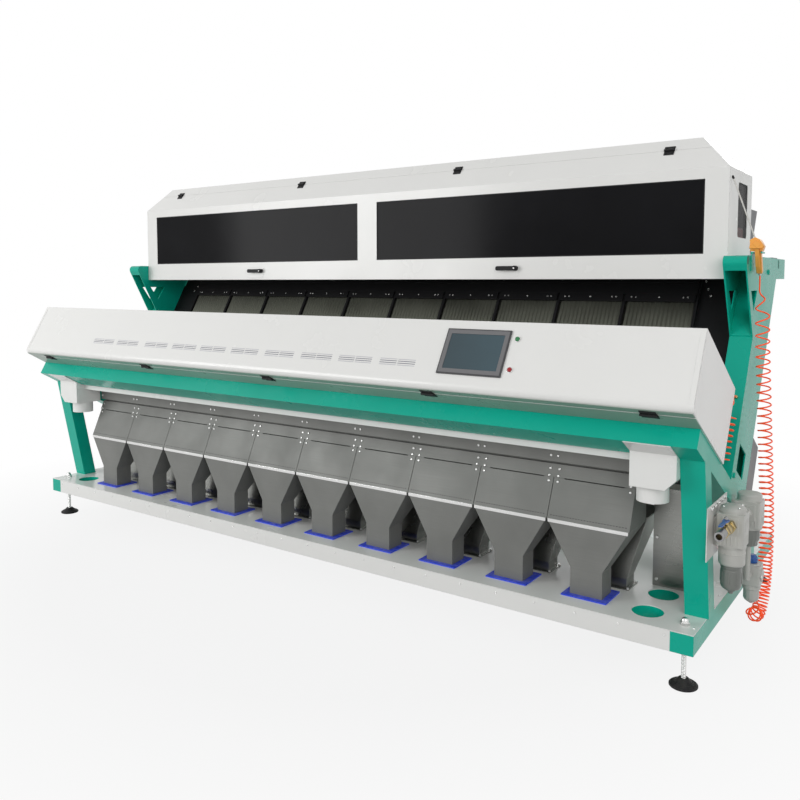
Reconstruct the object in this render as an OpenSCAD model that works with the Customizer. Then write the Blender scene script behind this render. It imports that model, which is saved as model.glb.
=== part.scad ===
// Optical colour sorter with ten feed chutes, seen from the operator's side.
// X runs along the machine, Y towards its back, Z up from the floor.

/* [Machine] */
// Number of feed chutes side by side
chute_count = 10; // [6:1:10]
// Distance between chute centres
chute_pitch = 330; // [320:5:340]
// Room beyond the outer chutes at each end of the frame
end_margin = 273; // [265:1:290]
// Lean of the optical frame below the horizontal
tilt = 30; // [29.5:0.25:30.5]
// How far the console's nose stands ahead of the base
nose_reach = 142; // [130:1:155]
// Height of the console's lower front edge
nose_z = 1011; // [1005:1:1025]
// Thickness of the folded sheet metal
sheet_t = 3; // [2.5:0.5:4]
// Gap left between neighbouring pieces
fit_gap = 0.5; // [0.3:0.1:0.8]

/* [Base] */
// Height of the base rails above the floor
floor_gap = 147; // [130:1:160]
// Height of the base rails
rail_h = 72; // [65:1:80]
// Width of the side rails
rail_w = 80; // [76:1:90]
// Width of the cross rails
cross_rail_w = 50; // [40:1:52]
// Depth of the base from front to back
base_depth = 1380; // [1350:5:1420]
// Step from the frame's end in to the base's end
base_inset = 8; // [4:1:12]
// Wall of the square tubes
tube_t = 4; // [3:0.5:5]
// Diameter of the round openings in the deck
hole_d = 115; // [100:1:118]
// Step from the base's end to the round openings
hole_inset = 195; // [185:1:200]
// Distance of the front opening from the base's front
hole_y = 118; // [114:1:124]
// Distance between the front and rear openings
hole_pitch = 190; // [180:1:230]

/* [Feet] */
// Step from the base's end to a foot
foot_inset_x = 50; // [42:1:50]
// Step from the base's front or back to a foot
foot_inset_y = 75; // [68:1:80]
// Diameter of the foot's threaded stem
stud_d = 18; // [14:1:20]
// Diameter of the foot's pad
pad_d = 100; // [90:1:110]
// Height of the foot's pad
pad_h = 30; // [24:1:36]
// Width across flats of the foot's nuts
nut_af = 30; // [26:1:34]
// Thickness of the foot's nuts
nut_h = 14; // [10:1:16]

/* [Frame] */
// Height of the tilted frame tubes
frame_h = 72; // [66:1:76]
// Width of the tilted frame tubes and legs
frame_w = 85; // [80:1:88]
// Distance of the front beam behind the nose
beam_offset = 144; // [138:1:150]
// Depth of the front beam
beam_d = 126; // [110:1:128]
// Length of the tilted end rails behind the nose
rail_end = 1300; // [1290:5:1340]
// Lean of the front legs
leg_lean = 10.8; // [10:0.1:11.5]
// Distance of a front leg's foot behind the base's front
leg_y = 168; // [160:1:176]
// Depth of a front leg
leg_d = 77; // [70:1:80]
// Distance of the rear posts along the tilted rails
post_at = 1170; // [1150:5:1190]
// Depth of the rear posts
post_d = 85; // [70:1:95]

/* [Columns] */
// Width of a column between its outer plates
col_w = 90; // [88:1:94]
// Thickness of the column plates
col_t = 6; // [5:0.5:8]
// Distance of the column along the tilted rails
col_at = 680; // [672:1:684]
// Depth of the column across its lean
col_d = 280; // [272:1:288]
// Length of the column up to its knee
knee_s = 612; // [600:1:620]
// Height of the column's top
col_top = 1530; // [1525:1:1535]
// Distance of the column's top front from the base's front
col_front = 581; // [570:1:590]
// Distance of the column's rear ear from the base's front
ear_back = 1413; // [1400:1:1425]
// Height of the rear ear
ear_h = 91; // [88:1:96]
// Radius of the column's rounded top front
lip_r = 26; // [20:1:30]
// Depth of the lip that closes the column's top front
lip_h = 60; // [50:1:66]
// Width of the lower window in the column
col_window_w = 124; // [110:1:130]
// Height of the lower window in the column
col_window_h = 111; // [100:1:116]
// Distance of the lower window from the column's edges
col_window_in = 60; // [54:1:66]
// Height of the opening in the column's upper gusset
gusset_hole_h = 82; // [70:1:90]
// Width of the opening in the column's upper gusset
gusset_hole_w = 116; // [100:1:124]
// Distance of the gusset's opening below the column's top
gusset_hole_drop = 140; // [132:1:150]

/* [Hoppers] */
// Thickness of the stainless sheet
steel_t = 2; // [1.5:0.25:3]
// Gap between neighbouring hoppers
hopper_gap = 3; // [2:0.5:6]
// Distance of the hopper fronts behind the base's front
hopper_y = 105; // [100:1:110]
// Width of a front spout
spout_w = 128; // [118:1:134]
// Depth of a front spout
spout_d = 97; // [88:1:100]
// Height above the deck where a front spout starts to flare
spout_h = 108; // [95:1:115]
// Height above the deck of the fold in the hopper fronts
fold_h = 283; // [276:1:290]
// Height of the sloping cover plates above the fold
cover_h = 150; // [140:1:156]
// Step back of a cover plate over its height
cover_back = 66; // [60:1:70]
// Depth of a front hopper at its top
hopper_d = 191; // [186:1:194]
// Height of the hopper above its cover plate
hopper_neck = 45; // [40:1:48]
// Overhang of the gasket round a spout
gasket_rim = 26; // [20:1:30]
// Thickness of the gasket
gasket_t = 5; // [3:0.5:6]
// Distance of the rear chutes' spouts behind the base's front
reject_y = 276; // [272:1:282]
// Width of a rear chute's spout
reject_w = 200; // [180:1:220]
// Depth of a rear chute's spout
reject_d = 85; // [76:1:88]
// Height of a rear chute's straight spout
reject_h = 40; // [30:1:46]
// Height of a rear chute above the deck
reject_top = 283; // [276:1:286]
// Depth of a rear chute at its top
reject_top_d = 204; // [196:1:208]
// Step back of a rear chute's front over its height
reject_lean = 35; // [33:1:38]
// Width of the flange round a rear chute's spout
flange_w = 12; // [8:1:14]
// Thickness of that flange
flange_t = 4; // [3:0.5:5]

/* [Dust duct] */
// Width of the duct's end boxes
duct_box_w = 165; // [155:1:172]
// Depth of the duct's end boxes
duct_box_d = 158; // [150:1:162]
// Height of the duct's end boxes
duct_box_h = 118; // [112:1:122]
// Height of the duct's top above the floor
duct_top = 820; // [812:1:821]
// Distance of the end boxes behind the base's front
duct_y = 22; // [18:1:26]
// Chamfer of the end boxes' lower outer edges
duct_chamfer = 40; // [30:1:50]
// Height of the duct between the end boxes
duct_h = 36; // [32:1:40]
// Diameter of the round spigots
spigot_d = 115; // [100:1:118]
// Length of the round spigots
spigot_h = 60; // [50:1:70]

/* [Console] */
// Overhang of the console past the frame's end
console_over = 7; // [4:1:10]
// Depth of the console
console_d = 496; // [490:1:500]
// Height of the console
console_h = 302; // [298:1:304]
// Radius of the console's lower front bend
nose_r = 30; // [24:1:34]
// Depth of the cover's flange under the nose
flange_d = 46; // [40:1:60]
// Height of the console's camera window
glass_h = 140; // [130:1:144]
// Height of the camera window's lower edge
glass_s = 90; // [86:1:92]
// Thickness of the window panes
glass_t = 5; // [4:0.5:6]
// Distance between the console's hinges
hinge_pitch = 878; // [820:2:880]
// Number of hinges along the console
hinge_count = 5; // [3:1:5]
// Sideways step of the row of hinges
hinge_shift = 20; // [10:1:60]
// Width of a hinge
hinge_w = 60; // [50:1:70]
// Diameter of a hinge's barrel
hinge_d = 10; // [8:0.5:12]
// Place of the touch screen's middle along the machine
screen_x = 1083; // [1060:1:1090]
// Height of the touch screen's middle up the front
screen_s = 165; // [155:1:175]
// Width of the touch screen
screen_w = 282; // [260:1:290]
// Height of the touch screen
screen_h = 196; // [180:1:204]
// How far the screen's bezel stands proud
bezel_t = 8; // [6:0.5:10]
// Width of the screen's bezel
bezel_w = 22; // [18:1:26]
// Place of the push buttons along the machine
button_x = 1254; // [1250:1:1270]
// Height of the start button up the front
start_s = 229; // [220:1:240]
// Height of the stop button up the front
stop_s = 102; // [90:1:110]
// Diameter of a push button
button_d = 18; // [16:0.5:20]
// How far a push button stands proud
button_proud = 9; // [8:0.5:11]
// Travel of a push button
button_travel = 3; // [2:0.5:4]

/* [Sorting chamber] */
// Distance of the chute plates along the tilted rails
chute_at = 780; // [774:1:784]
// Thickness of a chute plate
chute_t = 6; // [5:0.5:8]
// Height of a chute's ridges
ridge_h = 4; // [3:0.5:5]
// Number of ridges on a chute
ridge_count = 16; // [8:1:20]
// Start of the chutes up their slope
chute_low = 300; // [296:1:310]
// Length of the chutes
chute_len = 760; // [745:1:765]
// Width of the strips between chutes
divider_w = 12; // [10:1:16]
// Height of the strips above the chute plates
divider_h = 15; // [12:1:18]
// Height of the clamp strip across the chutes
clamp_h = 40; // [34:1:46]
// Distance of the clamp strip up the chutes
clamp_at = 515; // [505:1:550]
// Side of the square tubes behind the chutes
carrier_w = 60; // [50:1:66]
// Depth of the rear camera box
rear_d = 120; // [110:1:130]
// Height of the rear camera box
rear_h = 280; // [270:1:286]
// Height of the lamp bars
lamp_h = 38; // [34:1:40]
// Depth of the lamp bars
lamp_d = 40; // [34:1:46]
// Side of a camera's body
camera_w = 60; // [50:1:64]
// Depth of the ejector bar
ejector_d = 50; // [44:1:54]
// Height of the ejector bar
ejector_h = 50; // [44:1:52]
// Number of valve blocks on each chute
valves_per_chute = 4; // [2:1:5]
// Diameter of the wiper's guide rod
rod_d = 12; // [10:0.5:16]
// Width of the wiper's carriage
carriage_w = 60; // [50:1:70]

/* [Hood] */
// Distance of the hood's front behind the base's front
hood_y = 680; // [676:1:684]
// Depth of the hood
hood_d = 414; // [408:1:416]
// Height of the hood's lower edge
hood_z = 1438; // [1436:1:1442]
// Height of the hood's upright front
hood_front_h = 453; // [445:1:460]
// Height of the hood's sloping edge
hood_slope_h = 140; // [130:1:150]
// Depth of the slope at front and back
hood_slope_d = 104; // [98:1:110]
// Run of the slope at the hood's ends
hood_slope_x = 134; // [125:1:140]
// Share of the front slope that opens with the door
hood_split = 0.65; // [0.6:0.01:0.7]
// Height of the door windows
pane_h = 305; // [295:1:310]
// Height of the windows above the hood's lower edge
pane_up = 103; // [98:1:108]
// Half the post between the two windows
pane_post = 64; // [58:1:70]
// Distance of the windows from the hood's ends
pane_in = 95; // [90:1:100]
// Border of the panes behind the door
pane_rim = 15; // [12:1:15]
// Distance between the hood's hinges
hood_hinge_pitch = 1047; // [1000:1:1060]
// Number of hinges on the hood's door
hood_hinge_count = 4; // [2:1:4]
// Width of a hood hinge
hood_hinge_w = 44; // [38:1:50]
// Length of a hood hinge's leaf
hood_leaf_l = 22; // [18:1:28]
// Width of the window in each hood end
end_pane_w = 176; // [165:1:184]
// Height of the window in each hood end
end_pane_h = 229; // [220:1:236]
// Distance of the end windows from the hood's back
end_pane_back = 79; // [74:1:84]
// Corner radius of the end windows
end_pane_r = 15; // [10:1:20]
// Length of a door lever
lever_l = 115; // [100:1:125]
// Height of the levers above the hood's lower edge
lever_up = 52; // [46:1:54]
// Place of the left lever's pivot
lever_left_x = -785; // [-800:1:-770]
// Place of the right lever's pivot
lever_right_x = 885; // [870:1:900]

/* [Feeding] */
// Width of a feeder tray
tray_w = 300; // [280:1:306]
// Length of a feeder tray
tray_l = 250; // [240:1:255]
// Height of a feeder tray's walls
tray_h = 60; // [50:1:64]
// Height of a tray's floor above the chutes' upper end
tray_up = 31; // [29:1:35]
// Height of the feed hopper's rim above its outlet plate
feed_h = 107; // [95:1:115]
// Height of the feed hopper's outlet plate above the trays
feed_floor = 20; // [16:1:26]
// Depth of the feed hopper's rim
feed_d = 240; // [230:1:245]
// Width of a feed outlet
outlet_w = 120; // [100:1:140]
// Depth of a feed outlet
outlet_d = 80; // [70:1:84]
// Side of the beam that carries the feeders
feeder_beam_d = 80; // [76:1:86]

/* [Air unit] */
// Distance of the filters' axis outside the frame
air_out = 62; // [58:1:66]
// Distance of the main filter behind the base's front
filter_y = 206; // [200:1:212]
// Height of the main filter's top
filter_top = 642; // [632:1:645]
// Width of a filter head
filter_w = 96; // [90:1:100]
// Diameter of the main filter's collar
collar_d = 100; // [98:1:106]
// Diameter of the main filter's bowl
bowl_d = 82; // [76:1:88]
// Distance between the two filters
filter_pitch = 274; // [264:1:284]
// Side of the small regulator
regulator_w = 72; // [66:1:76]
// Distance of the small regulator behind the second filter
regulator_step = 81; // [79:1:90]
// Height of the small regulator's top
regulator_top = 330; // [320:1:338]
// Diameter of the regulator's knob
knob_d = 46; // [40:1:50]
// Outside diameter of the air inlet nipple
inlet_d = 33; // [30:0.5:35]
// Length of the valve's lever
valve_lever_l = 90; // [80:1:100]
// Width of the air unit's bracket
bracket_w = 280; // [270:1:290]
// Height of the air unit's bracket
bracket_h = 190; // [180:1:195]

/* [Blow gun] */
// Distance of the gun's middle outside the frame
gun_out = 22; // [21:0.5:24]
// Distance of the gun's head behind the base's front
gun_y = 690; // [680:1:700]
// Height of the gun's head
gun_z = 1565; // [1560:1:1570]
// Diameter of the gun's head
gun_d = 40; // [36:1:44]
// Thickness of the gun's head
gun_w = 34; // [31:1:34]
// Length of the gun's grip
grip_l = 113; // [105:1:118]
// Lean of the gun's grip
grip_lean = 24; // [22:1:26]
// Length of the gun's nozzle
nozzle_l = 283; // [230:1:285]
// Lean of the nozzle towards the hood
nozzle_lean = 20; // [18:0.5:20]
// Travel of the gun's trigger in degrees
trigger_turn = 6; // [4:1:6]

/* [Hidden] */
$fn = 48;

green = [0.08, 0.62, 0.53];
white = [0.92, 0.93, 0.92];
steel = [0.55, 0.56, 0.55];
black = [0.08, 0.08, 0.09];
grey = [0.72, 0.73, 0.71];
blue = [0.15, 0.28, 0.86];
orange = [1.0, 0.33, 0.17];
amber = [0.98, 0.62, 0.2];
red = [0.75, 0.12, 0.12];
brass = [0.78, 0.65, 0.35];
smoke = [0.1, 0.1, 0.11];

// Main reaches worked out from the driving sizes
row_half = chute_count * chute_pitch / 2;
frame_half = row_half + end_margin;
base_half = frame_half - base_inset;
console_half = frame_half + console_over;
tube_in = frame_half - frame_w;
col_in = frame_half - col_w;
rail_top = floor_gap + rail_h;
deck_top = rail_top + sheet_t;
air_x = frame_half + air_out;
gun_x = frame_half + gun_out;
cut = 1;

// Chute centres along the machine
chute_xs = [for (i = [0 : chute_count - 1]) (i - (chute_count - 1) / 2) * chute_pitch];

// Places of the frame's own box, used to put the origin under its middle
box_left = -console_half;
box_right = air_x + collar_d / 2;
box_front = -nose_reach + nose_r * (cos(tilt) + sin(tilt) - 1);
box_back = ear_back;
shift = [-(box_left + box_right) / 2, -(box_front + box_back) / 2, 0];

// Height and depth of a point given along the tilted rails and across them
function tilt_y(t, s) = -nose_reach + t * cos(tilt) + s * sin(tilt);
function tilt_z(t, s) = nose_z - t * sin(tilt) + s * cos(tilt);
// Distance up the column's slope at which it reaches a height
function slope_at(t, z) = (z - nose_z + t * sin(tilt)) / cos(tilt);

module in_frame() {
    translate(shift) children();
}

// Turns a piece into the tilted frame: Y along the rails, Z across them
module in_tilt() {
    translate([0, -nose_reach, nose_z]) rotate([-tilt, 0, 0]) children();
}

module both_ends() {
    children();
    mirror([1, 0, 0]) children();
}

// A box given by its limits on each axis
module bar(x, y, z) {
    translate([x[0], y[0], z[0]]) cube([x[1] - x[0], y[1] - y[0], z[1] - z[0]]);
}

// A box that spans the machine evenly to both sides
module span(half, y, z) {
    bar([-half, half], y, z);
}

// A side view outline in Y and Z, run along X between two places
module along_x(x0, x1, points) {
    translate([x0, 0, 0]) rotate([90, 0, 90]) linear_extrude(x1 - x0) polygon(points);
}

// A front view outline in X and Z, run along Y between two places
module along_y(y0, y1, points) {
    translate([0, y1, 0]) rotate([90, 0, 0]) linear_extrude(y1 - y0) polygon(points);
}

module rod_x(x0, x1, y, z, d) {
    translate([x0, y, z]) rotate([0, 90, 0]) cylinder(h = x1 - x0, d = d);
}

module rod_y(y0, y1, x, z, d) {
    translate([x, y0, z]) rotate([-90, 0, 0]) cylinder(h = y1 - y0, d = d);
}

module rod_z(z0, z1, x, y, d) {
    translate([x, y, z0]) cylinder(h = z1 - z0, d = d);
}

// Base

foot_x = base_half - foot_inset_x;
foot_ys = [foot_inset_y, base_depth - foot_inset_y];
stud_hole_d = stud_d + 2 * fit_gap;

module at_feet() {
    both_ends() for (y = foot_ys) translate([foot_x, y, 0]) children();
}

module side_rails() {
    color(green) in_frame() both_ends() difference() {
        bar([base_half - rail_w, base_half], [0, base_depth], [floor_gap, rail_top]);
        bar([base_half - rail_w + tube_t, base_half - tube_t], [tube_t, base_depth + cut],
            [floor_gap + tube_t, rail_top - tube_t]);
        for (y = foot_ys) rod_z(floor_gap - cut, rail_top + cut, foot_x, y, stud_hole_d);
    }
}

module cross_rails() {
    rail_ys = [sheet_t, base_depth / 2, base_depth - cross_rail_w];
    half = base_half - rail_w;
    color(green) in_frame() for (y = rail_ys) difference() {
        span(half, [y, y + cross_rail_w], [floor_gap, rail_top]);
        span(half + cut, [y + tube_t, y + cross_rail_w - tube_t], [floor_gap + tube_t, rail_top - tube_t]);
    }
}

hole_x = base_half - hole_inset;
hole_ys = [hole_y, hole_y + hole_pitch];

module deck() {
    color(white) in_frame() difference() {
        union() {
            span(base_half, [0, base_depth], [rail_top, deck_top]);
            span(base_half - rail_w, [0, sheet_t], [floor_gap, rail_top - fit_gap]);
        }
        both_ends() for (y = hole_ys) rod_z(rail_top - cut, deck_top + cut, hole_x, y, hole_d);
        both_ends() for (y = foot_ys) rod_z(rail_top - cut, deck_top + cut, foot_x, y, stud_hole_d);
        for (x = chute_xs) {
            bar([x - spout_w / 2 - fit_gap, x + spout_w / 2 + fit_gap],
                [hopper_y - fit_gap, hopper_y + spout_d + fit_gap], [rail_top - cut, deck_top + cut]);
            bar([x - reject_w / 2, x + reject_w / 2], [reject_y, reject_y + reject_d],
                [rail_top - cut, deck_top + cut]);
        }
    }
}

// Green tube stubs under the round openings
module hole_collars() {
    color(green) in_frame() both_ends() for (y = hole_ys) difference() {
        rod_z(floor_gap, rail_top, hole_x, y, hole_d + 2 * sheet_t);
        rod_z(floor_gap - cut, rail_top + cut, hole_x, y, hole_d);
    }
}

module foot_studs() {
    stem_top = deck_top + 2 * nut_h;
    color(steel) in_frame() at_feet() {
        rod_z(pad_h, stem_top, 0, 0, stud_d);
        for (z = [floor_gap - nut_h, deck_top])
            translate([0, 0, z]) cylinder(h = nut_h, d = nut_af / cos(30), $fn = 6);
    }
}

module foot_pads() {
    rim_h = pad_h / 3;
    color(black) in_frame() at_feet() rotate_extrude()
        polygon([[0, 0], [pad_d / 2, 0], [pad_d / 2, rim_h], [stud_d, pad_h], [0, pad_h]]);
}

// Frame

module legs() {
    slope = tan(leg_lean);
    leg_top = nose_z;
    leg_step = (leg_top - deck_top) * slope;
    post_top = tilt_z(post_at, 0);
    color(green) in_frame() both_ends() difference() {
        union() {
            along_x(tube_in, frame_half, [[leg_y, deck_top], [leg_y + leg_d, deck_top],
                [leg_y + leg_d - leg_step, leg_top], [leg_y - leg_step, leg_top]]);
            bar([tube_in, frame_half], [tilt_y(post_at, -frame_h), tilt_y(post_at, -frame_h) + post_d],
                [deck_top, post_top]);
        }
        in_tilt() bar([tube_in - cut, frame_half + cut], [-rail_end, 2 * rail_end], [-frame_h, rail_end]);
    }
}

module tilted_rails() {
    color(green) in_frame() both_ends() in_tilt() difference() {
        bar([tube_in, frame_half], [beam_offset, rail_end], [-frame_h, 0]);
        bar([tube_in + tube_t, frame_half - tube_t], [beam_offset + tube_t, rail_end + cut],
            [-frame_h + tube_t, -tube_t]);
    }
}

module front_beam() {
    color(green) in_frame() in_tilt() difference() {
        span(tube_in, [beam_offset, beam_offset + beam_d], [-frame_h, 0]);
        span(tube_in + cut, [beam_offset + tube_t, beam_offset + beam_d - tube_t], [-frame_h + tube_t, -tube_t]);
    }
}

// Side outline of a column: a slanted post with a front gusset and a rear ear
ear_s = slope_at(col_at + col_d, col_top - ear_h);
front_lean = atan((tilt_y(col_at, knee_s) - col_front) / (col_top - tilt_z(col_at, knee_s)));
lip_reach = lip_r / tan((90 - front_lean) / 2);
lip_mid = [col_front + lip_reach, col_top - lip_r];
lip_steps = 6;
function lip_turn(k) = k * (90 + front_lean) / lip_steps - front_lean;
lip_arc = [for (k = [0 : lip_steps]) lip_mid + lip_r * [-cos(lip_turn(k)), sin(lip_turn(k))]];
col_outline = concat([[tilt_y(col_at, 0), tilt_z(col_at, 0)], [tilt_y(col_at, knee_s), tilt_z(col_at, knee_s)]],
    lip_arc, [[ear_back, col_top], [ear_back, col_top - ear_h],
    [tilt_y(col_at + col_d, ear_s), col_top - ear_h], [tilt_y(col_at + col_d, 0), tilt_z(col_at + col_d, 0)]]);
gusset_hole_z = col_top - gusset_hole_drop;
gusset_hole_y = tilt_y(col_at, knee_s) - gusset_hole_w / 2;
gusset_hole = [[gusset_hole_y, gusset_hole_z], [gusset_hole_y + gusset_hole_w, gusset_hole_z],
    [gusset_hole_y + gusset_hole_w / 2, gusset_hole_z - gusset_hole_h]];

// Hollow between the plates behind the front web, open at the bottom and under the ear
web_front = col_at + col_t;
web_back = col_at + col_d - col_t;
ceiling = col_top - col_t;
ear_low = col_top - ear_h - cut;
col_hollow = [[tilt_y(web_front, -cut), tilt_z(web_front, -cut)],
    [tilt_y(web_front, slope_at(web_front, ceiling)), ceiling], [ear_back - col_t, ceiling],
    [ear_back - col_t, ear_low], [tilt_y(web_back, slope_at(web_back, ear_low)), ear_low],
    [tilt_y(web_back, -cut), tilt_z(web_back, -cut)]];

// Hollow of the gusset ahead of the front web, open below the lip
lean = (tilt_y(col_at, knee_s) - col_front) / (col_top - tilt_z(col_at, knee_s));
function gusset_y(z) = col_front + (col_top - z) * lean;
gusset_hollow = [[gusset_y(tilt_z(col_at, knee_s) + col_t), tilt_z(col_at, knee_s) + col_t],
    [tilt_y(col_at, slope_at(col_at, ceiling)), ceiling], [gusset_y(ceiling) + 2 * col_t + lip_reach, ceiling],
    [gusset_y(col_top - lip_h) + 2 * col_t, col_top - lip_h], [gusset_y(col_top - lip_h) - col_t, col_top - lip_h],
    [gusset_y(tilt_z(col_at, knee_s) + col_t) - col_t, tilt_z(col_at, knee_s) + col_t]];

module column() {
    difference() {
        along_x(col_in, frame_half, col_outline);
        along_x(col_in + col_t, frame_half - col_t, col_hollow);
        along_x(col_in + col_t, frame_half - col_t, gusset_hollow);
        along_x(col_in - cut, frame_half + cut, gusset_hole);
        in_tilt() bar([col_in - cut, frame_half + cut],
            [col_at + col_window_in, col_at + col_window_in + col_window_w],
            [col_window_in, col_window_in + col_window_h]);
    }
}

module left_column() {
    color(green) in_frame() mirror([1, 0, 0]) column();
}

module right_column() {
    color(green) in_frame() column();
}

// Square tubes that tie the two ends together
carrier_at = chute_at + chute_t;
carrier_low = chute_low + carrier_w / 2;
carrier_high = clamp_at + chute_low - clamp_h;
feeder_beam_y = ear_back - 3 * feeder_beam_d;
feeder_beam_z = col_top - ear_h + col_t;
feeder_beam_h = ear_h - 5 * col_t;

module cross_tubes() {
    color(green) in_frame() {
        in_tilt() for (s = [carrier_low, carrier_high]) difference() {
            span(col_in, [carrier_at, carrier_at + carrier_w], [s, s + carrier_w]);
            span(col_in + cut, [carrier_at + tube_t, carrier_at + carrier_w - tube_t],
                [s + tube_t, s + carrier_w - tube_t]);
        }
        in_tilt() difference() {
            span(tube_in, [rail_end - carrier_w, rail_end], [-frame_h, 0]);
            span(tube_in + cut, [rail_end - carrier_w + tube_t, rail_end - tube_t], [-frame_h + tube_t, -tube_t]);
        }
        difference() {
            span(col_in, [feeder_beam_y, feeder_beam_y + feeder_beam_d],
                [feeder_beam_z, feeder_beam_z + feeder_beam_h]);
            span(col_in + cut, [feeder_beam_y + tube_t, feeder_beam_y + feeder_beam_d - tube_t],
                [feeder_beam_z + tube_t, feeder_beam_z + feeder_beam_h - tube_t]);
        }
    }
}

// Hoppers

hopper_half = (chute_pitch - hopper_gap) / 2;
fold_z = deck_top + fold_h;
flare_z = deck_top + spout_h;
cover_z = fold_z + cover_h;
neck_back = hopper_neck * cover_back / cover_h;
hopper_z = cover_z + hopper_neck;
hopper_low = floor_gap + rail_h / 2;

// Front view of a funnel: a straight spout that flares to the full width
function funnel_front(low, high, spout, half, z0, z1) = [[-spout, low], [spout, low], [spout, z0], [half, z1],
    [half, high], [-half, high], [-half, z1], [-spout, z0]];

// Side view of a front hopper, drawn inwards by the sheet when it is the hollow
function hopper_side(low, high, skin) = [[hopper_y + skin, low], [hopper_y + spout_d - skin, low],
    [hopper_y + spout_d - skin, flare_z], [hopper_y + hopper_d - skin, fold_z], [hopper_y + hopper_d - skin, high],
    [hopper_y + cover_back + neck_back + skin, high], [hopper_y + cover_back + neck_back + skin, hopper_z],
    [hopper_y + skin, fold_z]];

// The sloping band that a cover plate takes up
function cover_band(back) = [[hopper_y - back, fold_z], [hopper_y + cover_back - back, cover_z],
    [hopper_y + cover_back + steel_t + back, cover_z], [hopper_y + steel_t + back, fold_z]];

module front_hopper() {
    low = hopper_low;
    high = hopper_z;
    difference() {
        intersection() {
            along_y(hopper_y, hopper_y + hopper_d,
                funnel_front(low, high, spout_w / 2, hopper_half, flare_z, fold_z));
            along_x(-hopper_half, hopper_half, hopper_side(low, high, 0));
        }
        intersection() {
            along_y(hopper_y, hopper_y + hopper_d, funnel_front(low - cut, high + cut, spout_w / 2 - steel_t,
                hopper_half - steel_t, flare_z, fold_z));
            along_x(-hopper_half, hopper_half, hopper_side(low - cut, high + cut, steel_t));
        }
        along_x(-hopper_half - cut, hopper_half + cut, cover_band(fit_gap));
    }
}

module front_hoppers() {
    color(steel) in_frame() for (x = chute_xs) translate([x, 0, 0]) front_hopper();
}

module hopper_covers() {
    slot_half = hopper_half - 14 * sheet_t;
    slot_z = cover_z - cover_h / 40;
    color(steel) in_frame() for (x = chute_xs) translate([x, 0, 0]) difference() {
        along_x(-hopper_half, hopper_half, cover_band(0));
        span(slot_half, [hopper_y, hopper_y + hopper_d], [slot_z, cover_z + cut]);
    }
}

module hopper_gaskets() {
    color(blue) in_frame() for (x = chute_xs) translate([x, 0, 0]) difference() {
        bar([-spout_w / 2 - gasket_rim, spout_w / 2 + gasket_rim],
            [hopper_y - gasket_rim, hopper_y + spout_d + gasket_rim], [deck_top, deck_top + gasket_t]);
        bar([-spout_w / 2 - fit_gap, spout_w / 2 + fit_gap], [hopper_y - fit_gap, hopper_y + spout_d + fit_gap],
            [deck_top - cut, deck_top + gasket_t + cut]);
    }
}

// Folded strip that closes the gap between the hoppers and the duct
duct_back = duct_y + duct_box_d;
duct_low = duct_top - duct_h;

// Depth of the line just ahead of the hoppers' sloping fronts at a height
function strip_y(z) = hopper_y + cover_back + (z - cover_z) * cover_back / cover_h - fit_gap;

module hopper_rail() {
    groove = 4 * sheet_t;
    low = cover_z + fit_gap;
    over = hopper_z + fit_gap;
    top = over + sheet_t;
    back = strip_y(top) + groove;
    face = duct_back - 2 * sheet_t;
    color(steel) in_frame() along_x(-row_half, row_half, [[strip_y(low) - sheet_t, low],
        [strip_y(top) - sheet_t, top], [back, top], [back, top + groove], [face, top + groove], [face, duct_low],
        [face + sheet_t, duct_low], [face + sheet_t, top + groove + sheet_t],
        [back + sheet_t, top + groove + sheet_t], [back + sheet_t, over], [strip_y(over), over],
        [strip_y(low), low]]);
}

// Side view of a rear chute
reject_z = deck_top + reject_top;
function reject_side(low, high, skin) = [[reject_y + skin, low], [reject_y + reject_d - skin, low],
    [reject_y + reject_d - skin, deck_top + reject_h],
    [reject_y + reject_lean + reject_top_d - skin, reject_z], [reject_y + reject_lean + reject_top_d - skin, high],
    [reject_y + reject_lean + skin, high], [reject_y + reject_lean + skin, reject_z],
    [reject_y + skin, deck_top + reject_h]];

module rear_chute() {
    reach = reject_lean + reject_top_d;
    flare = deck_top + reject_h;
    rim = reject_z + 2 * steel_t;
    difference() {
        union() {
            intersection() {
                along_y(reject_y, reject_y + reach, funnel_front(deck_top, rim, reject_w / 2, hopper_half,
                    flare, reject_z));
                along_x(-hopper_half, hopper_half, reject_side(deck_top, rim, 0));
            }
            bar([-reject_w / 2 - flange_w, reject_w / 2 + flange_w],
                [reject_y - flange_w, reject_y + reject_d + flange_w], [deck_top, deck_top + flange_t]);
        }
        intersection() {
            along_y(reject_y, reject_y + reach, funnel_front(deck_top - cut, rim + cut, reject_w / 2 - steel_t,
                hopper_half - steel_t, flare, reject_z));
            along_x(-hopper_half, hopper_half, reject_side(deck_top - cut, rim + cut, steel_t));
        }
    }
}

// Sheets that close the space beside the outer chutes, behind the deck's openings
closing_y = hole_y + hole_pitch + hole_d / 2 + reject_lean / 2;

module rear_chutes() {
    color(steel) in_frame() {
        for (x = chute_xs) translate([x, 0, 0]) rear_chute();
        both_ends() bar([row_half + hopper_gap, tube_in - fit_gap], [closing_y, closing_y + steel_t],
            [deck_top, deck_top + 1.4 * reject_top]);
    }
}

// Dust duct

duct_half = tube_in - fit_gap;
spigot_x = duct_half - duct_box_w + spigot_d / 2 + sheet_t;
spigot_y = duct_y + duct_box_d / 2;
duct_box_z = duct_top - duct_box_h;

// Line under the beam that the end boxes follow
beam_back = beam_offset + beam_d;
under_s = -frame_h - fit_gap - sheet_t / 2;
under_y = tilt_y(beam_back, under_s);
under_z = tilt_z(beam_back, under_s);
box_front_z = under_z + (under_y - duct_y) * tan(tilt);

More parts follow.
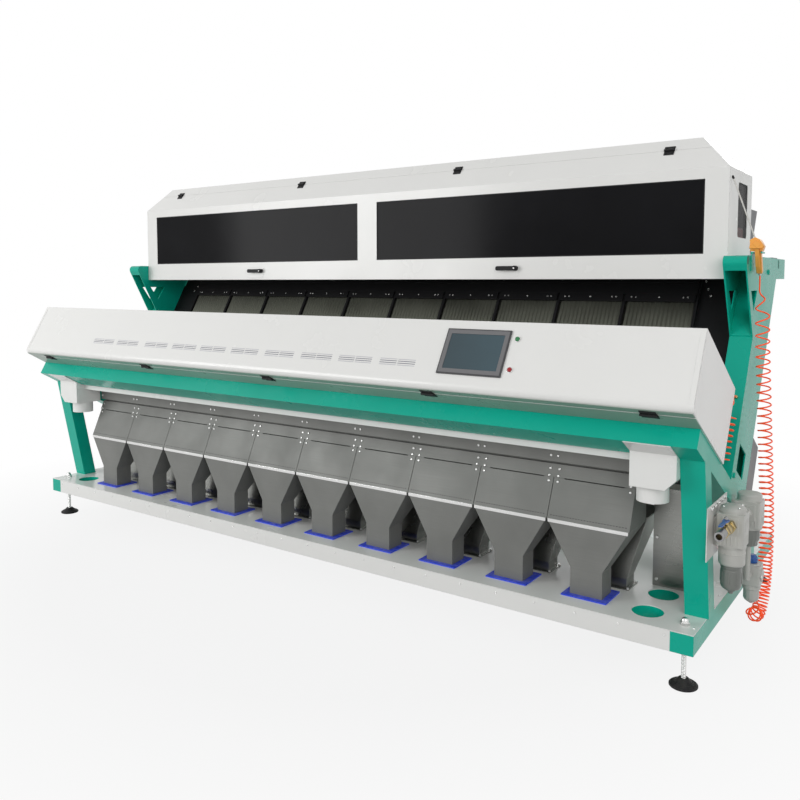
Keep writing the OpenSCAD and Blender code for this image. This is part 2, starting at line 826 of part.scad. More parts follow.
module dust_duct() {
    duct_d = 2 * duct_box_d / 3;
    color(white) in_frame() difference() {
        union() {
            span(duct_half - duct_box_w - fit_gap, [duct_back - duct_d, duct_back], [duct_low, duct_top]);
            both_ends() {
                intersection() {
                    along_y(duct_y, duct_back, [[duct_half - duct_box_w, duct_box_z],
                        [duct_half - duct_chamfer, duct_box_z], [duct_half, duct_box_z + duct_chamfer],
                        [duct_half, box_front_z + cut], [duct_half - duct_box_w, box_front_z + cut]]);
                    along_x(duct_half - duct_box_w - cut, duct_half + cut, [[duct_y - cut, duct_box_z - cut],
                        [duct_back + cut, duct_box_z - cut], [duct_back + cut, duct_top],
                        [under_y + duct_top - under_z, duct_top], [under_y, under_z],
                        [duct_y - cut, box_front_z + cut * tan(tilt)]]);
                }
                in_tilt() bar([duct_half - duct_box_w, duct_half], [beam_offset, beam_back],
                    [-frame_h - fit_gap - sheet_t, -frame_h - fit_gap]);
                rod_z(duct_box_z - spigot_h, duct_box_z, spigot_x, spigot_y, spigot_d);
            }
        }
        both_ends() rod_z(duct_box_z - spigot_h - cut, duct_low - sheet_t, spigot_x, spigot_y,
            spigot_d - 2 * sheet_t);
    }
}

// Console

// The console's section drawn in from its front and underside
module nose(inset, half, t1, s1) {
    r = nose_r - inset;
    difference() {
        span(half, [inset, t1], [inset, s1]);
        span(half + cut, [inset - cut, inset + r], [inset - cut, inset + r]);
    }
    rod_x(-half, half, inset + r, inset + r, 2 * r);
}

shell_front = sheet_t + fit_gap;
pane_half = row_half - divider_w;

module console_shell() {
    step = flange_d + 2 * hinge_d / 5;
    color(white) in_frame() in_tilt() difference() {
        union() {
            nose(shell_front, console_half, step, console_h);
            span(console_half, [step, console_d], [0, console_h]);
        }
        difference() {
            span(console_half - sheet_t, [-cut, console_d - sheet_t],
                [shell_front + sheet_t, console_h - sheet_t]);
            span(console_half, [console_d - 2 * camera_w - camera_w / 2, console_d],
                [glass_s + glass_h / 2 - camera_w / 2 - sheet_t, glass_s + glass_h / 2 - camera_w / 2]);
        }
        span(pane_half, [console_d - 2 * sheet_t, console_d + cut], [glass_s, glass_s + glass_h]);
    }
}

module console_door() {
    color(white) in_frame() in_tilt() difference() {
        intersection() {
            nose(0, console_half, 2 * flange_d, console_h);
            span(console_half + cut, [-cut, flange_d], [-cut, console_h + cut]);
        }
        nose(sheet_t, console_half + cut, 2 * flange_d + cut, console_h + cut);
        bar([screen_x - screen_w / 2 + bezel_w / 2 - fit_gap, screen_x + screen_w / 2 - bezel_w / 2 + fit_gap],
            [-cut, sheet_t + cut],
            [screen_s - screen_h / 2 + bezel_w / 2 - fit_gap, screen_s + screen_h / 2 - bezel_w / 2 + fit_gap]);
        for (s = [start_s, stop_s]) rod_y(-cut, sheet_t + cut, button_x, s, button_d + 2 * fit_gap);
    }
}

hinge_t = flange_d + hinge_d / 5;
hinge_s = -hinge_d / 2 - fit_gap;

module console_hinges() {
    leaf_d = 3 * hinge_d;
    color(black) in_frame() in_tilt() for (i = [0 : hinge_count - 1]) {
        x = hinge_shift + (i - (hinge_count - 1) / 2) * hinge_pitch;
        rod_x(x - hinge_w / 2, x + hinge_w / 2, hinge_t, hinge_s, hinge_d);
        bar([x - hinge_w / 2, x + hinge_w / 2], [hinge_t, hinge_t + leaf_d], [-sheet_t, 0]);
    }
}

module touch_screen() {
    x0 = screen_x - screen_w / 2;
    x1 = screen_x + screen_w / 2;
    s0 = screen_s - screen_h / 2;
    s1 = screen_s + screen_h / 2;
    half = bezel_w / 2;
    color([0.25, 0.26, 0.28]) in_frame() in_tilt() difference() {
        union() {
            bar([x0, x1], [-bezel_t, 0], [s0, s1]);
            bar([x0 + half, x1 - half], [0, 4 * bezel_t], [s0 + half, s1 - half]);
        }
        bar([x0 + bezel_w, x1 - bezel_w], [-bezel_t - cut, -bezel_t / 2], [s0 + bezel_w, s1 - bezel_w]);
    }
}

module screen_glass() {
    in_half = bezel_w + fit_gap;
    color([0.4, 0.5, 0.58]) in_frame() in_tilt()
        bar([screen_x - screen_w / 2 + in_half, screen_x + screen_w / 2 - in_half],
            [-3 * bezel_t / 4, -bezel_t / 2],
            [screen_s - screen_h / 2 + in_half, screen_s + screen_h / 2 - in_half]);
}

module button_bezels() {
    ring = button_d + 8 * fit_gap + 2;
    color(grey) in_frame() in_tilt() for (s = [start_s, stop_s]) difference() {
        rod_y(-button_proud / 2, 0, button_x, s, ring);
        rod_y(-button_proud, cut, button_x, s, button_d + 2 * fit_gap);
    }
}

module push_button(s) {
    in_tilt() rod_y(-button_proud, 4 * sheet_t, button_x, s, button_d);
}

module start_button() {
    color([0.1, 0.65, 0.25]) in_frame() push_button(start_s);
}

module stop_button() {
    color(red) in_frame() push_button(stop_s);
}

// Sorting chamber

rear_at = col_at + col_d + fit_gap;
rear_back = rear_at + rear_d;
rear_glass_s = rear_h / 2 - glass_h / 4;

module rear_box() {
    door_half = tube_in - 2 * sheet_t;
    color(grey) in_frame() in_tilt() difference() {
        span(frame_half, [rear_at, rear_back], [0, rear_h]);
        difference() {
            span(frame_half - sheet_t, [rear_at + sheet_t, rear_back - sheet_t], [sheet_t, rear_h - sheet_t]);
            span(frame_half, [rear_back - camera_w - 2 * sheet_t, rear_back],
                [rear_h / 2 - camera_w / 2 - sheet_t, rear_h / 2 - camera_w / 2]);
        }
        span(pane_half, [rear_at - cut, rear_at + 2 * sheet_t], [rear_glass_s, rear_glass_s + glass_h / 2]);
        span(door_half - hinge_d, [rear_back - 2 * sheet_t, rear_back + cut], [2 * hinge_d, rear_h - 2 * hinge_d]);
    }
}

module rear_box_cover() {
    half = tube_in - 2 * sheet_t;
    edge = hinge_d / 2;
    color(white) in_frame() in_tilt()
        span(half, [rear_back, rear_back + sheet_t], [edge, rear_h - edge]);
}

// Panes of the camera boxes and of the hood's ends
module window_panes() {
    rim = 3 * sheet_t;
    color(smoke) in_frame() {
        in_tilt() {
            span(pane_half + rim, [console_d, console_d + glass_t], [glass_s - rim, glass_s + glass_h + rim]);
            span(pane_half + rim, [rear_at - glass_t, rear_at],
                [rear_glass_s - rim, rear_glass_s + glass_h / 2 + rim]);
        }
        both_ends() bar([hood_half - sheet_t - glass_t, hood_half - sheet_t],
            [end_pane_y - rim, end_pane_y + end_pane_w + rim], [end_pane_z - rim, end_pane_z + end_pane_h + rim]);
    }
}

module camera_modules() {
    front_s = glass_s + glass_h / 2;
    front_back = console_d - camera_w;
    lens = camera_w / 2;
    rear_end = rear_back - 3 * sheet_t;
    color(black) in_frame() in_tilt() for (x = chute_xs) {
        bar([x - camera_w / 2, x + camera_w / 2], [front_back - camera_w, front_back],
            [front_s - camera_w / 2, front_s + camera_w / 2]);
        rod_y(front_back, front_back + lens, x, front_s, 2 * lens * 0.8);
        bar([x - camera_w / 2, x + camera_w / 2], [rear_back - camera_w, rear_end],
            [rear_h / 2 - camera_w / 2, rear_h / 2 + camera_w / 2]);
        rod_y(rear_back - camera_w - lens / 2, rear_back - camera_w, x, rear_h / 2, lens);
    }
}

lamp_low = glass_s - 3 * sheet_t - fit_gap - lamp_h;
lamp_high = glass_s + glass_h + 3 * sheet_t + 8 * sheet_t;

module light_bars() {
    color(white) in_frame() in_tilt() {
        for (s = [lamp_low, lamp_high])
            span(row_half, [console_d, console_d + lamp_d], [s, s + lamp_h]);
        for (s = [lamp_low, rear_h - lamp_h - lamp_low / 2])
            span(row_half, [rear_at - lamp_d, rear_at], [s, s + lamp_h]);
    }
}

ejector_t = chute_at + 4 * chute_t;
ejector_s = -frame_h / 2 - ejector_h / 2;

module ejector_bar() {
    valve_w = chute_pitch / valves_per_chute - 10 * sheet_t;
    color(grey) in_frame() in_tilt() {
        span(tube_in - fit_gap, [ejector_t, ejector_t + ejector_d], [ejector_s, ejector_s + ejector_h]);
        for (x = chute_xs, i = [0 : valves_per_chute - 1]) {
            vx = x + (i - (valves_per_chute - 1) / 2) * chute_pitch / valves_per_chute;
            bar([vx - valve_w / 2, vx + valve_w / 2], [ejector_t + ejector_d, ejector_t + 1.6 * ejector_d],
                [ejector_s + 2 * sheet_t, ejector_s + ejector_h - 2 * sheet_t]);
        }
    }
}

rod_t = col_at + 2 * rod_d;
rod_s = rear_h;
carriage_x = -(col_in - carriage_w);

module wiper_rod() {
    color(steel) in_frame() in_tilt() rod_x(-col_in, col_in, rod_t, rod_s, rod_d);
}

// Parked beside the chutes, with its blade against the front window
module wiper_carriage() {
    arm_s = glass_s + glass_h + 3 * sheet_t + fit_gap;
    arm_h = 6 * sheet_t;
    blade_t = console_d + glass_t + fit_gap;
    color(black) in_frame() in_tilt() translate([carriage_x, 0, 0]) difference() {
        union() {
            bar([-carriage_w / 2, carriage_w / 2], [rod_t - 1.5 * rod_d, rod_t + 1.5 * rod_d],
                [arm_s, rod_s + 1.5 * rod_d]);
            bar([-carriage_w / 6, carriage_w / 6], [blade_t, rod_t], [arm_s, arm_s + arm_h]);
            bar([-carriage_w / 6, carriage_w / 6], [blade_t, blade_t + 3 * sheet_t], [glass_s, arm_s + arm_h]);
        }
        rod_x(-carriage_w, carriage_w, rod_t, rod_s, rod_d + 2 * fit_gap);
    }
}

// Outline of one chute seen along its slope: a plate with low ridges
chute_half = (chute_pitch - divider_w) / 2 - fit_gap / 2;
ridge_w = 2 * chute_half / ridge_count;
chute_outline = concat([[-chute_half, chute_t], [chute_half, chute_t]],
    [for (i = [0 : ridge_count - 1], k = [0, 0.5]) [chute_half - (i + k) * ridge_w, k > 0 ? -ridge_h : 0]],
    [[-chute_half, 0]]);

module chutes() {
    color([0.3, 0.31, 0.3]) in_frame() in_tilt() for (x = chute_xs)
        translate([x, chute_at, chute_low]) linear_extrude(chute_len) polygon(chute_outline);
}

module chute_dividers() {
    half = row_half + divider_w / 2;
    side_top = slope_at(chute_at, hood_z) - 4 * divider_w;
    clamp_t = chute_at - divider_h - fit_gap;
    color(black) in_frame() in_tilt() {
        for (i = [0 : chute_count]) {
            x = i * chute_pitch - row_half;
            bar([x - divider_w / 2, x + divider_w / 2], [chute_at - divider_h, chute_at + chute_t],
                [chute_low, chute_low + chute_len]);
        }
        for (x = chute_xs) bar([x - chute_half, x + chute_half], [clamp_t - divider_h / 2, clamp_t],
            [chute_low + clamp_at, chute_low + clamp_at + clamp_h]);
        both_ends() {
            bar([half + fit_gap, col_in], [chute_at, chute_at + chute_t], [chute_low, side_top]);
            bar([half + fit_gap, hood_half - 2 * glass_t], [chute_at, chute_at + chute_t],
                [side_top - cut, side_top + 8 * divider_w]);
        }
    }
}

// Hood

hood_half = col_in - fit_gap;
hood_fold = hood_z + hood_front_h;
hood_top = hood_fold + hood_slope_h;
hood_back = hood_y + hood_d;
end_pane_y = hood_y + hood_d - end_pane_back - end_pane_w;
end_pane_z = hood_z + 1.7 * pane_up;

// Side view of the hood, drawn in by the sheet when it is the hollow
function hood_side(skin, low) = [[hood_y + skin, low], [hood_y + skin, hood_fold - skin / 2],
    [hood_y + hood_slope_d + skin / 2, hood_top - skin], [hood_back - hood_slope_d - skin / 2, hood_top - skin],
    [hood_back - skin, hood_fold - skin / 2], [hood_back - skin, low]];

// Front view of the hood
function hood_end(skin, low) = [[-hood_half + skin, low], [hood_half - skin, low],
    [hood_half - skin, hood_fold - skin / 2], [hood_half - hood_slope_x - skin / 2, hood_top - skin],
    [-hood_half + hood_slope_x + skin / 2, hood_top - skin], [-hood_half + skin, hood_fold - skin / 2]];

module hood_solid(skin, low) {
    intersection() {
        along_x(-hood_half, hood_half, hood_side(skin, low));
        along_y(hood_y, hood_back, hood_end(skin, low));
    }
}

// Directions along and out of the hood's front slope
slope_l = sqrt(hood_slope_d * hood_slope_d + hood_slope_h * hood_slope_h);
up_y = hood_slope_d / slope_l;
up_z = hood_slope_h / slope_l;
split_y = hood_y + hood_split * hood_slope_d;
split_z = hood_fold + hood_split * hood_slope_h;

// The bent band that the door takes up, with room added round it
function door_band(room) = [[hood_y - room, hood_z - room], [hood_y - room, hood_fold],
    [split_y + room * (up_y - up_z), split_z + room * (up_z + up_y)],
    [split_y + room * up_y + (sheet_t + room) * up_z, split_z + room * up_z - (sheet_t + room) * up_y],
    [hood_y + sheet_t + room, hood_fold - sheet_t / 2], [hood_y + sheet_t + room, hood_z - room]];

tray_z = tilt_z(chute_at, chute_low + chute_len) + tray_up;
tray_top = tray_z + tray_h;
feed_z = tray_top + feed_floor;

module hood_shell() {
    color(white) in_frame() difference() {
        hood_solid(0, hood_z);
        hood_solid(sheet_t, hood_z - cut);
        along_x(-hood_half - cut, hood_half + cut, door_band(2 * fit_gap));
        span(hood_half - sheet_t, [hood_back - 2 * sheet_t, hood_back + cut], [hood_z - cut, feed_z]);
        both_ends() end_opening();
    }
}

// Rounded opening in a hood end
module end_opening() {
    d = 2 * end_pane_r;
    bar([hood_half - 2 * sheet_t, hood_half + cut], [end_pane_y + end_pane_r, end_pane_y + end_pane_w - end_pane_r],
        [end_pane_z, end_pane_z + end_pane_h]);
    bar([hood_half - 2 * sheet_t, hood_half + cut], [end_pane_y, end_pane_y + end_pane_w],
        [end_pane_z + end_pane_r, end_pane_z + end_pane_h - end_pane_r]);
    for (y = [end_pane_y + end_pane_r, end_pane_y + end_pane_w - end_pane_r],
        z = [end_pane_z + end_pane_r, end_pane_z + end_pane_h - end_pane_r])
        rod_x(hood_half - 2 * sheet_t, hood_half + cut, y, z, d);
}

pane_x = [pane_post, hood_half - pane_in];
pane_z = [hood_z + pane_up, hood_z + pane_up + pane_h];
lever_z = hood_z + lever_up;
shaft_d = 10;

module hood_door() {
    color(white) in_frame() difference() {
        intersection() {
            along_x(-hood_half, hood_half, door_band(0));
            along_y(hood_y - cut, hood_back, hood_end(0, hood_z));
        }
        both_ends() bar(pane_x, [hood_y - cut, hood_y + sheet_t + cut], pane_z);
        for (x = [lever_left_x, lever_right_x])
            rod_y(hood_y - cut, hood_y + sheet_t + cut, x, lever_z, shaft_d + 2 * fit_gap);
    }
}

module hood_glass() {
    color(smoke) in_frame() both_ends() bar([pane_x[0] - pane_rim, pane_x[1] + pane_rim],
        [hood_y + sheet_t, hood_y + sheet_t + glass_t], [pane_z[0] - pane_rim, pane_z[1] + pane_rim]);
}

// Axis of the hood's door, just outside its slope
hood_axis_y = split_y - (hinge_d / 2 + fit_gap) * up_z;
hood_axis_z = split_z + (hinge_d / 2 + fit_gap) * up_y;

module hood_hinges() {
    start = 3 * fit_gap;
    color(black) in_frame() for (i = [0 : hood_hinge_count - 1]) {
        x = (i - (hood_hinge_count - 1) / 2) * hood_hinge_pitch;
        rod_x(x - hood_hinge_w / 2, x + hood_hinge_w / 2, hood_axis_y, hood_axis_z, hinge_d);
        along_x(x - hood_hinge_w / 2, x + hood_hinge_w / 2, [[split_y + start * up_y, split_z + start * up_z],
            [split_y + hood_leaf_l * up_y, split_z + hood_leaf_l * up_z],
            [split_y + hood_leaf_l * up_y - sheet_t * up_z, split_z + hood_leaf_l * up_z + sheet_t * up_y],
            [split_y + start * up_y - sheet_t * up_z, split_z + start * up_z + sheet_t * up_y]]);
    }
}

// Turn lever with its shaft and the cam behind the door
module hood_lever(x) {
    boss_d = 2.4 * shaft_d;
    bar_t = shaft_d;
    boss_front = hood_y - 2.5 * shaft_d;
    cam_back = hood_y + sheet_t + fit_gap;
    rod_y(boss_front, hood_y - fit_gap, x, lever_z, boss_d);
    bar([x - lever_l, x], [boss_front, boss_front + bar_t], [lever_z - 0.7 * shaft_d, lever_z + 0.7 * shaft_d]);
    rod_y(boss_front, cam_back + sheet_t, x, lever_z, shaft_d);
    bar([x - shaft_d, x + shaft_d], [cam_back, cam_back + sheet_t], [lever_z - shaft_d, lever_z + 3 * shaft_d]);
}

module hood_lever_left() {
    color(black) in_frame() hood_lever(lever_left_x);
}

module hood_lever_right() {
    color(black) in_frame() hood_lever(lever_right_x);
}

// Feeding

feed_front = hood_back + 2 * sheet_t;
feed_back = feed_front + feed_d;
feed_top = feed_z + feed_h;
feed_half = hood_half - 8 * sheet_t;
feed_foot = feed_back - feed_d / 2;
throat_front = feed_front + feed_d / 5;
throat_back = feed_back - feed_d / 4;
outlet_y = (throat_front + throat_back) / 2;

module feed_hopper() {
    t = steel_t + 1;
    color([0.35, 0.36, 0.37]) in_frame() difference() {
        union() {
            along_x(-feed_half, feed_half, [[feed_front, feed_top], [feed_front + t, feed_top],
                [throat_front + t, feed_z], [throat_front, feed_z]]);
            along_x(-feed_half, feed_half, [[feed_back - t, feed_top], [feed_back, feed_top],
                [throat_back, feed_z], [throat_back - t, feed_z]]);
            span(feed_half, [throat_front, throat_back], [feed_z - t, feed_z]);
            both_ends() {
                along_x(feed_half - t, feed_half, [[feed_front, col_top], [feed_foot, col_top],
                    [feed_back, feed_top], [feed_front, feed_top]]);
                bar([feed_half - t, frame_half], [feed_front + 4 * t, feed_foot], [col_top, col_top + t]);
            }
            for (x = chute_xs) bar([x - outlet_w / 2, x + outlet_w / 2],
                [outlet_y - outlet_d / 2, outlet_y + outlet_d / 2], [tray_top - tray_h / 2, feed_z]);
        }
        for (x = chute_xs) bar([x - outlet_w / 2 + t, x + outlet_w / 2 - t],
            [outlet_y - outlet_d / 2 + t, outlet_y + outlet_d / 2 - t], [tray_top - tray_h, feed_z + cut]);
    }
}

tray_back = feeder_beam_y + feeder_beam_d + 4 * hinge_d;
tray_front = tray_back - tray_l;

module feeder_trays() {
    color(steel) in_frame() for (x = chute_xs) translate([x, 0, 0]) difference() {
        bar([-tray_w / 2, tray_w / 2], [tray_front, tray_back], [tray_z, tray_top]);
        bar([-tray_w / 2 + steel_t, tray_w / 2 - steel_t], [tray_front - cut, tray_back - steel_t],
            [tray_z + steel_t, tray_top + cut]);
    }
}

drive_z = feeder_beam_z + feeder_beam_h;
drive_base = 5 * sheet_t;
drive_mid = feeder_beam_y + feeder_beam_d / 2;

module feeder_drives() {
    color(red) in_frame() for (x = chute_xs) translate([x, drive_mid, drive_z]) {
        bar([-tray_w / 5, tray_w / 5], [-feeder_beam_d / 2, feeder_beam_d / 2], [0, drive_base]);
        bar([-tray_w / 9, tray_w / 9], [-feeder_beam_d / 4, feeder_beam_d / 4],
            [drive_base, tray_z - drive_z - 3 * sheet_t]);
    }
}

module feeder_springs() {
    color(black) in_frame() for (x = chute_xs, side = [-1, 1]) translate([x, drive_mid, drive_z])
        bar([-tray_w / 8, tray_w / 8], [side * feeder_beam_d * 0.4 - sheet_t / 2, side * feeder_beam_d * 0.4 + sheet_t / 2],
            [drive_base, tray_z - drive_z - 0.3]);
}

// Air unit

bracket_y = filter_y - 1.15 * filter_w;
filter_low = filter_top - 1.58 * filter_w;
rear_filter_y = filter_y + filter_pitch;
regulator_y = rear_filter_y + regulator_step;
regulator_low = regulator_top - 1.25 * regulator_w;
pipe_d = 40;
link_z = filter_top - 0.85 * filter_w;
elbow_z = regulator_top - regulator_w / 2;
collar_h = 0.66 * collar_d;
bowl_h = bowl_d;
rear_filter_drop = 17;

module air_bracket() {
    color(white) in_frame() difference() {
        bar([frame_half, frame_half + sheet_t], [bracket_y, bracket_y + bracket_w],
            [filter_top - bracket_h, filter_top]);
        for (i = [1 : 5]) rod_x(frame_half - cut, frame_half + sheet_t + cut, bracket_y + i * bracket_w / 6,
            filter_top - 4 * sheet_t, 3 * sheet_t);
    }
}

// A cast filter head: a block with rounded corners, a cap and a lug to its bracket
module filter_head(y, top, low) {
    cap_h = filter_w / 4;
    intersection() {
        bar([air_x - filter_w / 2, air_x + filter_w / 2], [y - filter_w / 2, y + filter_w / 2], [low, top - cap_h]);
        rod_z(low, top - cap_h, air_x, y, 1.28 * filter_w);
    }
    translate([air_x, y, top - cap_h]) rotate_extrude() polygon([[0, 0], [0.46 * filter_w, 0],
        [0.46 * filter_w, 0.6 * cap_h], [0.34 * filter_w, cap_h], [0, cap_h]]);
}

module air_filters() {
    rear_top = filter_top - rear_filter_drop;
    color(grey) in_frame() {
        filter_head(filter_y, filter_top, filter_low);
        bar([frame_half + sheet_t, air_x], [filter_y - filter_w / 4, filter_y + filter_w / 4],
            [filter_low + sheet_t, filter_top - filter_w / 2]);
        filter_head(rear_filter_y, rear_top, filter_low);
        rod_y(filter_y, rear_filter_y, air_x, link_z, pipe_d);
        rod_z(elbow_z - pipe_d / 4, filter_low + cut, air_x, rear_filter_y, pipe_d / 2);
        rod_y(rear_filter_y, regulator_y - regulator_w / 2, air_x, elbow_z, pipe_d / 2);
    }
}

module filter_bowls() {
    neck_z = filter_low - collar_h;
    color([0.62, 0.63, 0.62]) in_frame() {
        translate([air_x, filter_y, 0]) rotate_extrude() polygon([[0, filter_low], [collar_d / 2, filter_low],
            [collar_d / 2, neck_z + collar_h / 4], [bowl_d / 2, neck_z], [bowl_d / 2, neck_z - bowl_h],
            [bowl_d / 5, neck_z - bowl_h - bowl_d / 8], [bowl_d / 10, neck_z - bowl_h - bowl_d / 8],
            [bowl_d / 10, neck_z - bowl_h - bowl_d / 4], [0, neck_z - bowl_h - bowl_d / 4]]);
        difference() {
            rod_z(filter_low - collar_h, filter_low, air_x, rear_filter_y, bowl_d - sheet_t);
            rod_z(filter_low - collar_h - cut, filter_low + cut, air_x, rear_filter_y, pipe_d / 2 + 2 * fit_gap);
        }
    }
}

module filter_regulator() {
    bowl = 0.8 * regulator_w;
    color(grey) in_frame() {
        intersection() {
            bar([air_x - regulator_w / 2, air_x + regulator_w / 2],
                [regulator_y - regulator_w / 2, regulator_y + regulator_w / 2], [regulator_low, regulator_top]);
            rod_z(regulator_low, regulator_top, air_x, regulator_y, 1.3 * regulator_w);
        }
        translate([air_x, regulator_y, regulator_low - regulator_w]) rotate_extrude()
            polygon([[0, 0], [bowl / 4, 0], [bowl / 2, bowl / 4], [bowl / 2, regulator_w], [0, regulator_w]]);
        rod_x(air_x, air_x + 0.56 * regulator_w, regulator_y, regulator_low + 0.6 * regulator_w, pipe_d);
    }
}

module regulator_knob() {
    color([0.1, 0.25, 0.35]) in_frame()
        rod_z(regulator_top + fit_gap, regulator_top + fit_gap + 0.8 * knob_d, air_x, regulator_y, knob_d);
}

valve_z = filter_top - 0.68 * filter_w;
valve_end = filter_y - filter_w / 2;
stem_y = valve_end - 1.5 * inlet_d;
nipple_end = valve_end - 4.5 * inlet_d;
lever_low = valve_z + 0.9 * inlet_d;

module ball_valve() {
    body_d = 1.2 * inlet_d;
    color(brass) in_frame() difference() {
        union() {
            rod_y(valve_end - 0.6 * inlet_d, valve_end, air_x, valve_z, 1.35 * inlet_d);
            rod_y(stem_y - inlet_d, valve_end, air_x, valve_z, body_d);
            rod_y(nipple_end, stem_y, air_x, valve_z, inlet_d);
            rod_z(valve_z, lever_low - fit_gap, air_x, stem_y, inlet_d / 2);
            rod_z(valve_z, lever_low + inlet_d / 2, air_x, stem_y, inlet_d / 4);
        }
        rod_y(nipple_end - cut, stem_y - inlet_d, air_x, valve_z, 0.65 * inlet_d);
    }
}

module valve_lever() {
    w = 0.7 * inlet_d;
    color(blue) in_frame() difference() {
        union() {
            rod_z(lever_low, lever_low + 2 * sheet_t, air_x, stem_y, w);
            bar([air_x - w / 2, air_x + w / 2], [stem_y - valve_lever_l, stem_y], [lever_low, lever_low + 2 * sheet_t]);
        }
        rod_z(lever_low - cut, lever_low + 2 * sheet_t + cut, air_x, stem_y, inlet_d / 4 + 2 * fit_gap);
    }
}

// Blow gun

grip_w = 24;
fork_z = gun_z - gun_d / 2 - fit_gap;
hook_h = 75;

// Forked bracket on the right column that carries the gun
module gun_hook() {
    fork_gap = grip_w + 8 * fit_gap;
    fork_x1 = gun_x + gun_w / 2 + 2 * fit_gap;
    y0 = gun_y - gun_d / 2;
    y1 = gun_y + gun_d;
    color(steel) in_frame() difference() {
        union() {
            bar([frame_half, frame_half + sheet_t], [y0, y1], [fork_z - hook_h, fork_z]);
            bar([frame_half, fork_x1], [y0, y1], [fork_z - 2 * sheet_t, fork_z]);
        }
        bar([gun_x - fork_gap / 2, gun_x + fork_gap / 2], [y0 - cut, y1 - 3 * sheet_t],
            [fork_z - 3 * sheet_t, fork_z + cut]);
    }
}

module gun_body() {
    color(amber) in_frame() {
        rod_x(gun_x - gun_w / 2, gun_x + gun_w / 2, gun_y, gun_z, gun_d);
        translate([gun_x, gun_y, gun_z]) rotate([grip_lean, 0, 0]) {
            translate([0, 0, -grip_l]) linear_extrude(grip_l) square([grip_w, grip_w], center = true);
            translate([0, 0, -grip_l - grip_w / 2]) cylinder(h = grip_w / 2 + cut, d = 0.6 * grip_w);
        }
    }
}

trigger_y = gun_y - gun_d / 2 - 1.5 * sheet_t - fit_gap;
trigger_l = 0.75 * grip_l;

module gun_trigger() {
    color(amber) in_frame() translate([gun_x, trigger_y, gun_z]) {
        rod_x(-grip_w / 2, grip_w / 2, 0, 0, 3 * sheet_t);
        rotate([grip_lean - trigger_turn, 0, 0])
            bar([-grip_w / 3, grip_w / 3], [-sheet_t, sheet_t / 3], [-trigger_l, -sheet_t / 3]);
    }
}

module gun_nozzle() {
    tube_d = 2 * sheet_t;
    tip_d = 3 * sheet_t;
    color(steel) in_frame() translate([gun_x, gun_y, gun_z]) rotate([0, -nozzle_lean, 0])
        translate([0, 0, gun_d / 2 + sheet_t]) {
            cylinder(h = nozzle_l, d = tube_d);
            translate([0, 0, nozzle_l - 5 * sheet_t]) cylinder(h = 5 * sheet_t, d = tip_d);
        }
}

// Hoses

hose_d = 6;
coil_d = 56;
inner_d = 44;
coil_sides = 10;

// Middle line of the hanging coil: down from the gun, round the loop and up to the regulator
coil_points = [[1960, 728, 1330], [1966, 736, 1150], [1978, 744, 900], [1990, 752, 650], [1998, 756, 450],
    [2000, 748, 300], [1998, 724, 170], [1992, 684, 96], [1983, 646, 90], [1976, 623, 140], [1974, 619, 190]];
// Straight ends of that hose: from the gun's grip and into the regulator
gun_tail = [[1945, 741, 1450], [1945, 743, 1400], [1950, 738, 1362], [1959.4, 728.8, 1331.8]];
regulator_tail = [[1974, 619, 190.7], [1974, 619, 230], [1975.5, 616, 258], [1977, 608, 271], [1978, 598.2, 274]];
// Middle line of the short coil ahead of the right column, in the tilted frame, and its upper end
inner_points = [[1895, 638, 0.5], [1895, 638, 75], [1894, 636, 150], [1896, 639, 230], [1895, 638, 310]];
inner_tail = [[1895, 638.3, 311], [1895, 642, 326], [1895, 656, 338], [1895, 679.5, 342]];

// One point of a smooth line through four neighbours
function smooth(a, b, c, d, u) = 0.5 * (2 * b + u * (c - a) + u * u * (2 * a - 5 * b + 4 * c - d)
    + u * u * u * (3 * b - a - 3 * c + d));
function pick(points, i) = points[max(0, min(len(points) - 1, i))];
function route(points, steps) = [for (i = [0 : len(points) - 2], k = [0 : steps - 1])
    smooth(pick(points, i - 1), points[i], points[i + 1], pick(points, i + 2), k / steps), points[len(points) - 1]];
function unit(v) = v / norm(v);
function heading(path, i) = unit(pick(path, i + 1) - pick(path, i - 1));
// Ring of points round the line, turned square to it
function ring(path, i, d) = let (ahead = heading(path, i), side = unit([1, 0, 0] - ahead[0] * ahead),
    over = cross(ahead, side)) [for (k = [0 : coil_sides - 1])
    path[i] + d / 2 * (cos(360 * k / coil_sides) * side + sin(360 * k / coil_sides) * over)];

module tube(path, d) {
    last = len(path) - 1;
    rings = [for (i = [0 : last], p = ring(path, i, d)) p];
    walls = [for (i = [0 : last - 1], k = [0 : coil_sides - 1]) let (n = (k + 1) % coil_sides)
        [i * coil_sides + k, (i + 1) * coil_sides + k, (i + 1) * coil_sides + n, i * coil_sides + n]];
    low = [[for (k = [0 : coil_sides - 1]) k]];
    high = [[for (k = [coil_sides - 1 : -1 : 0]) last * coil_sides + k]];
    polyhedron(rings, concat(walls, low, high));
}

module hose_coil() {
    color(orange) in_frame() tube(route(coil_points, 3), coil_d);
}

module hose_tails() {
    color(orange) in_frame() {
        tube(route(gun_tail, 3), hose_d);
        tube(route(regulator_tail, 3), hose_d);
        in_tilt() tube(route(inner_tail, 3), hose_d);
    }
}

module inner_coil() {
    color(orange) in_frame() in_tilt() tube(route(inner_points, 3), inner_d);
}

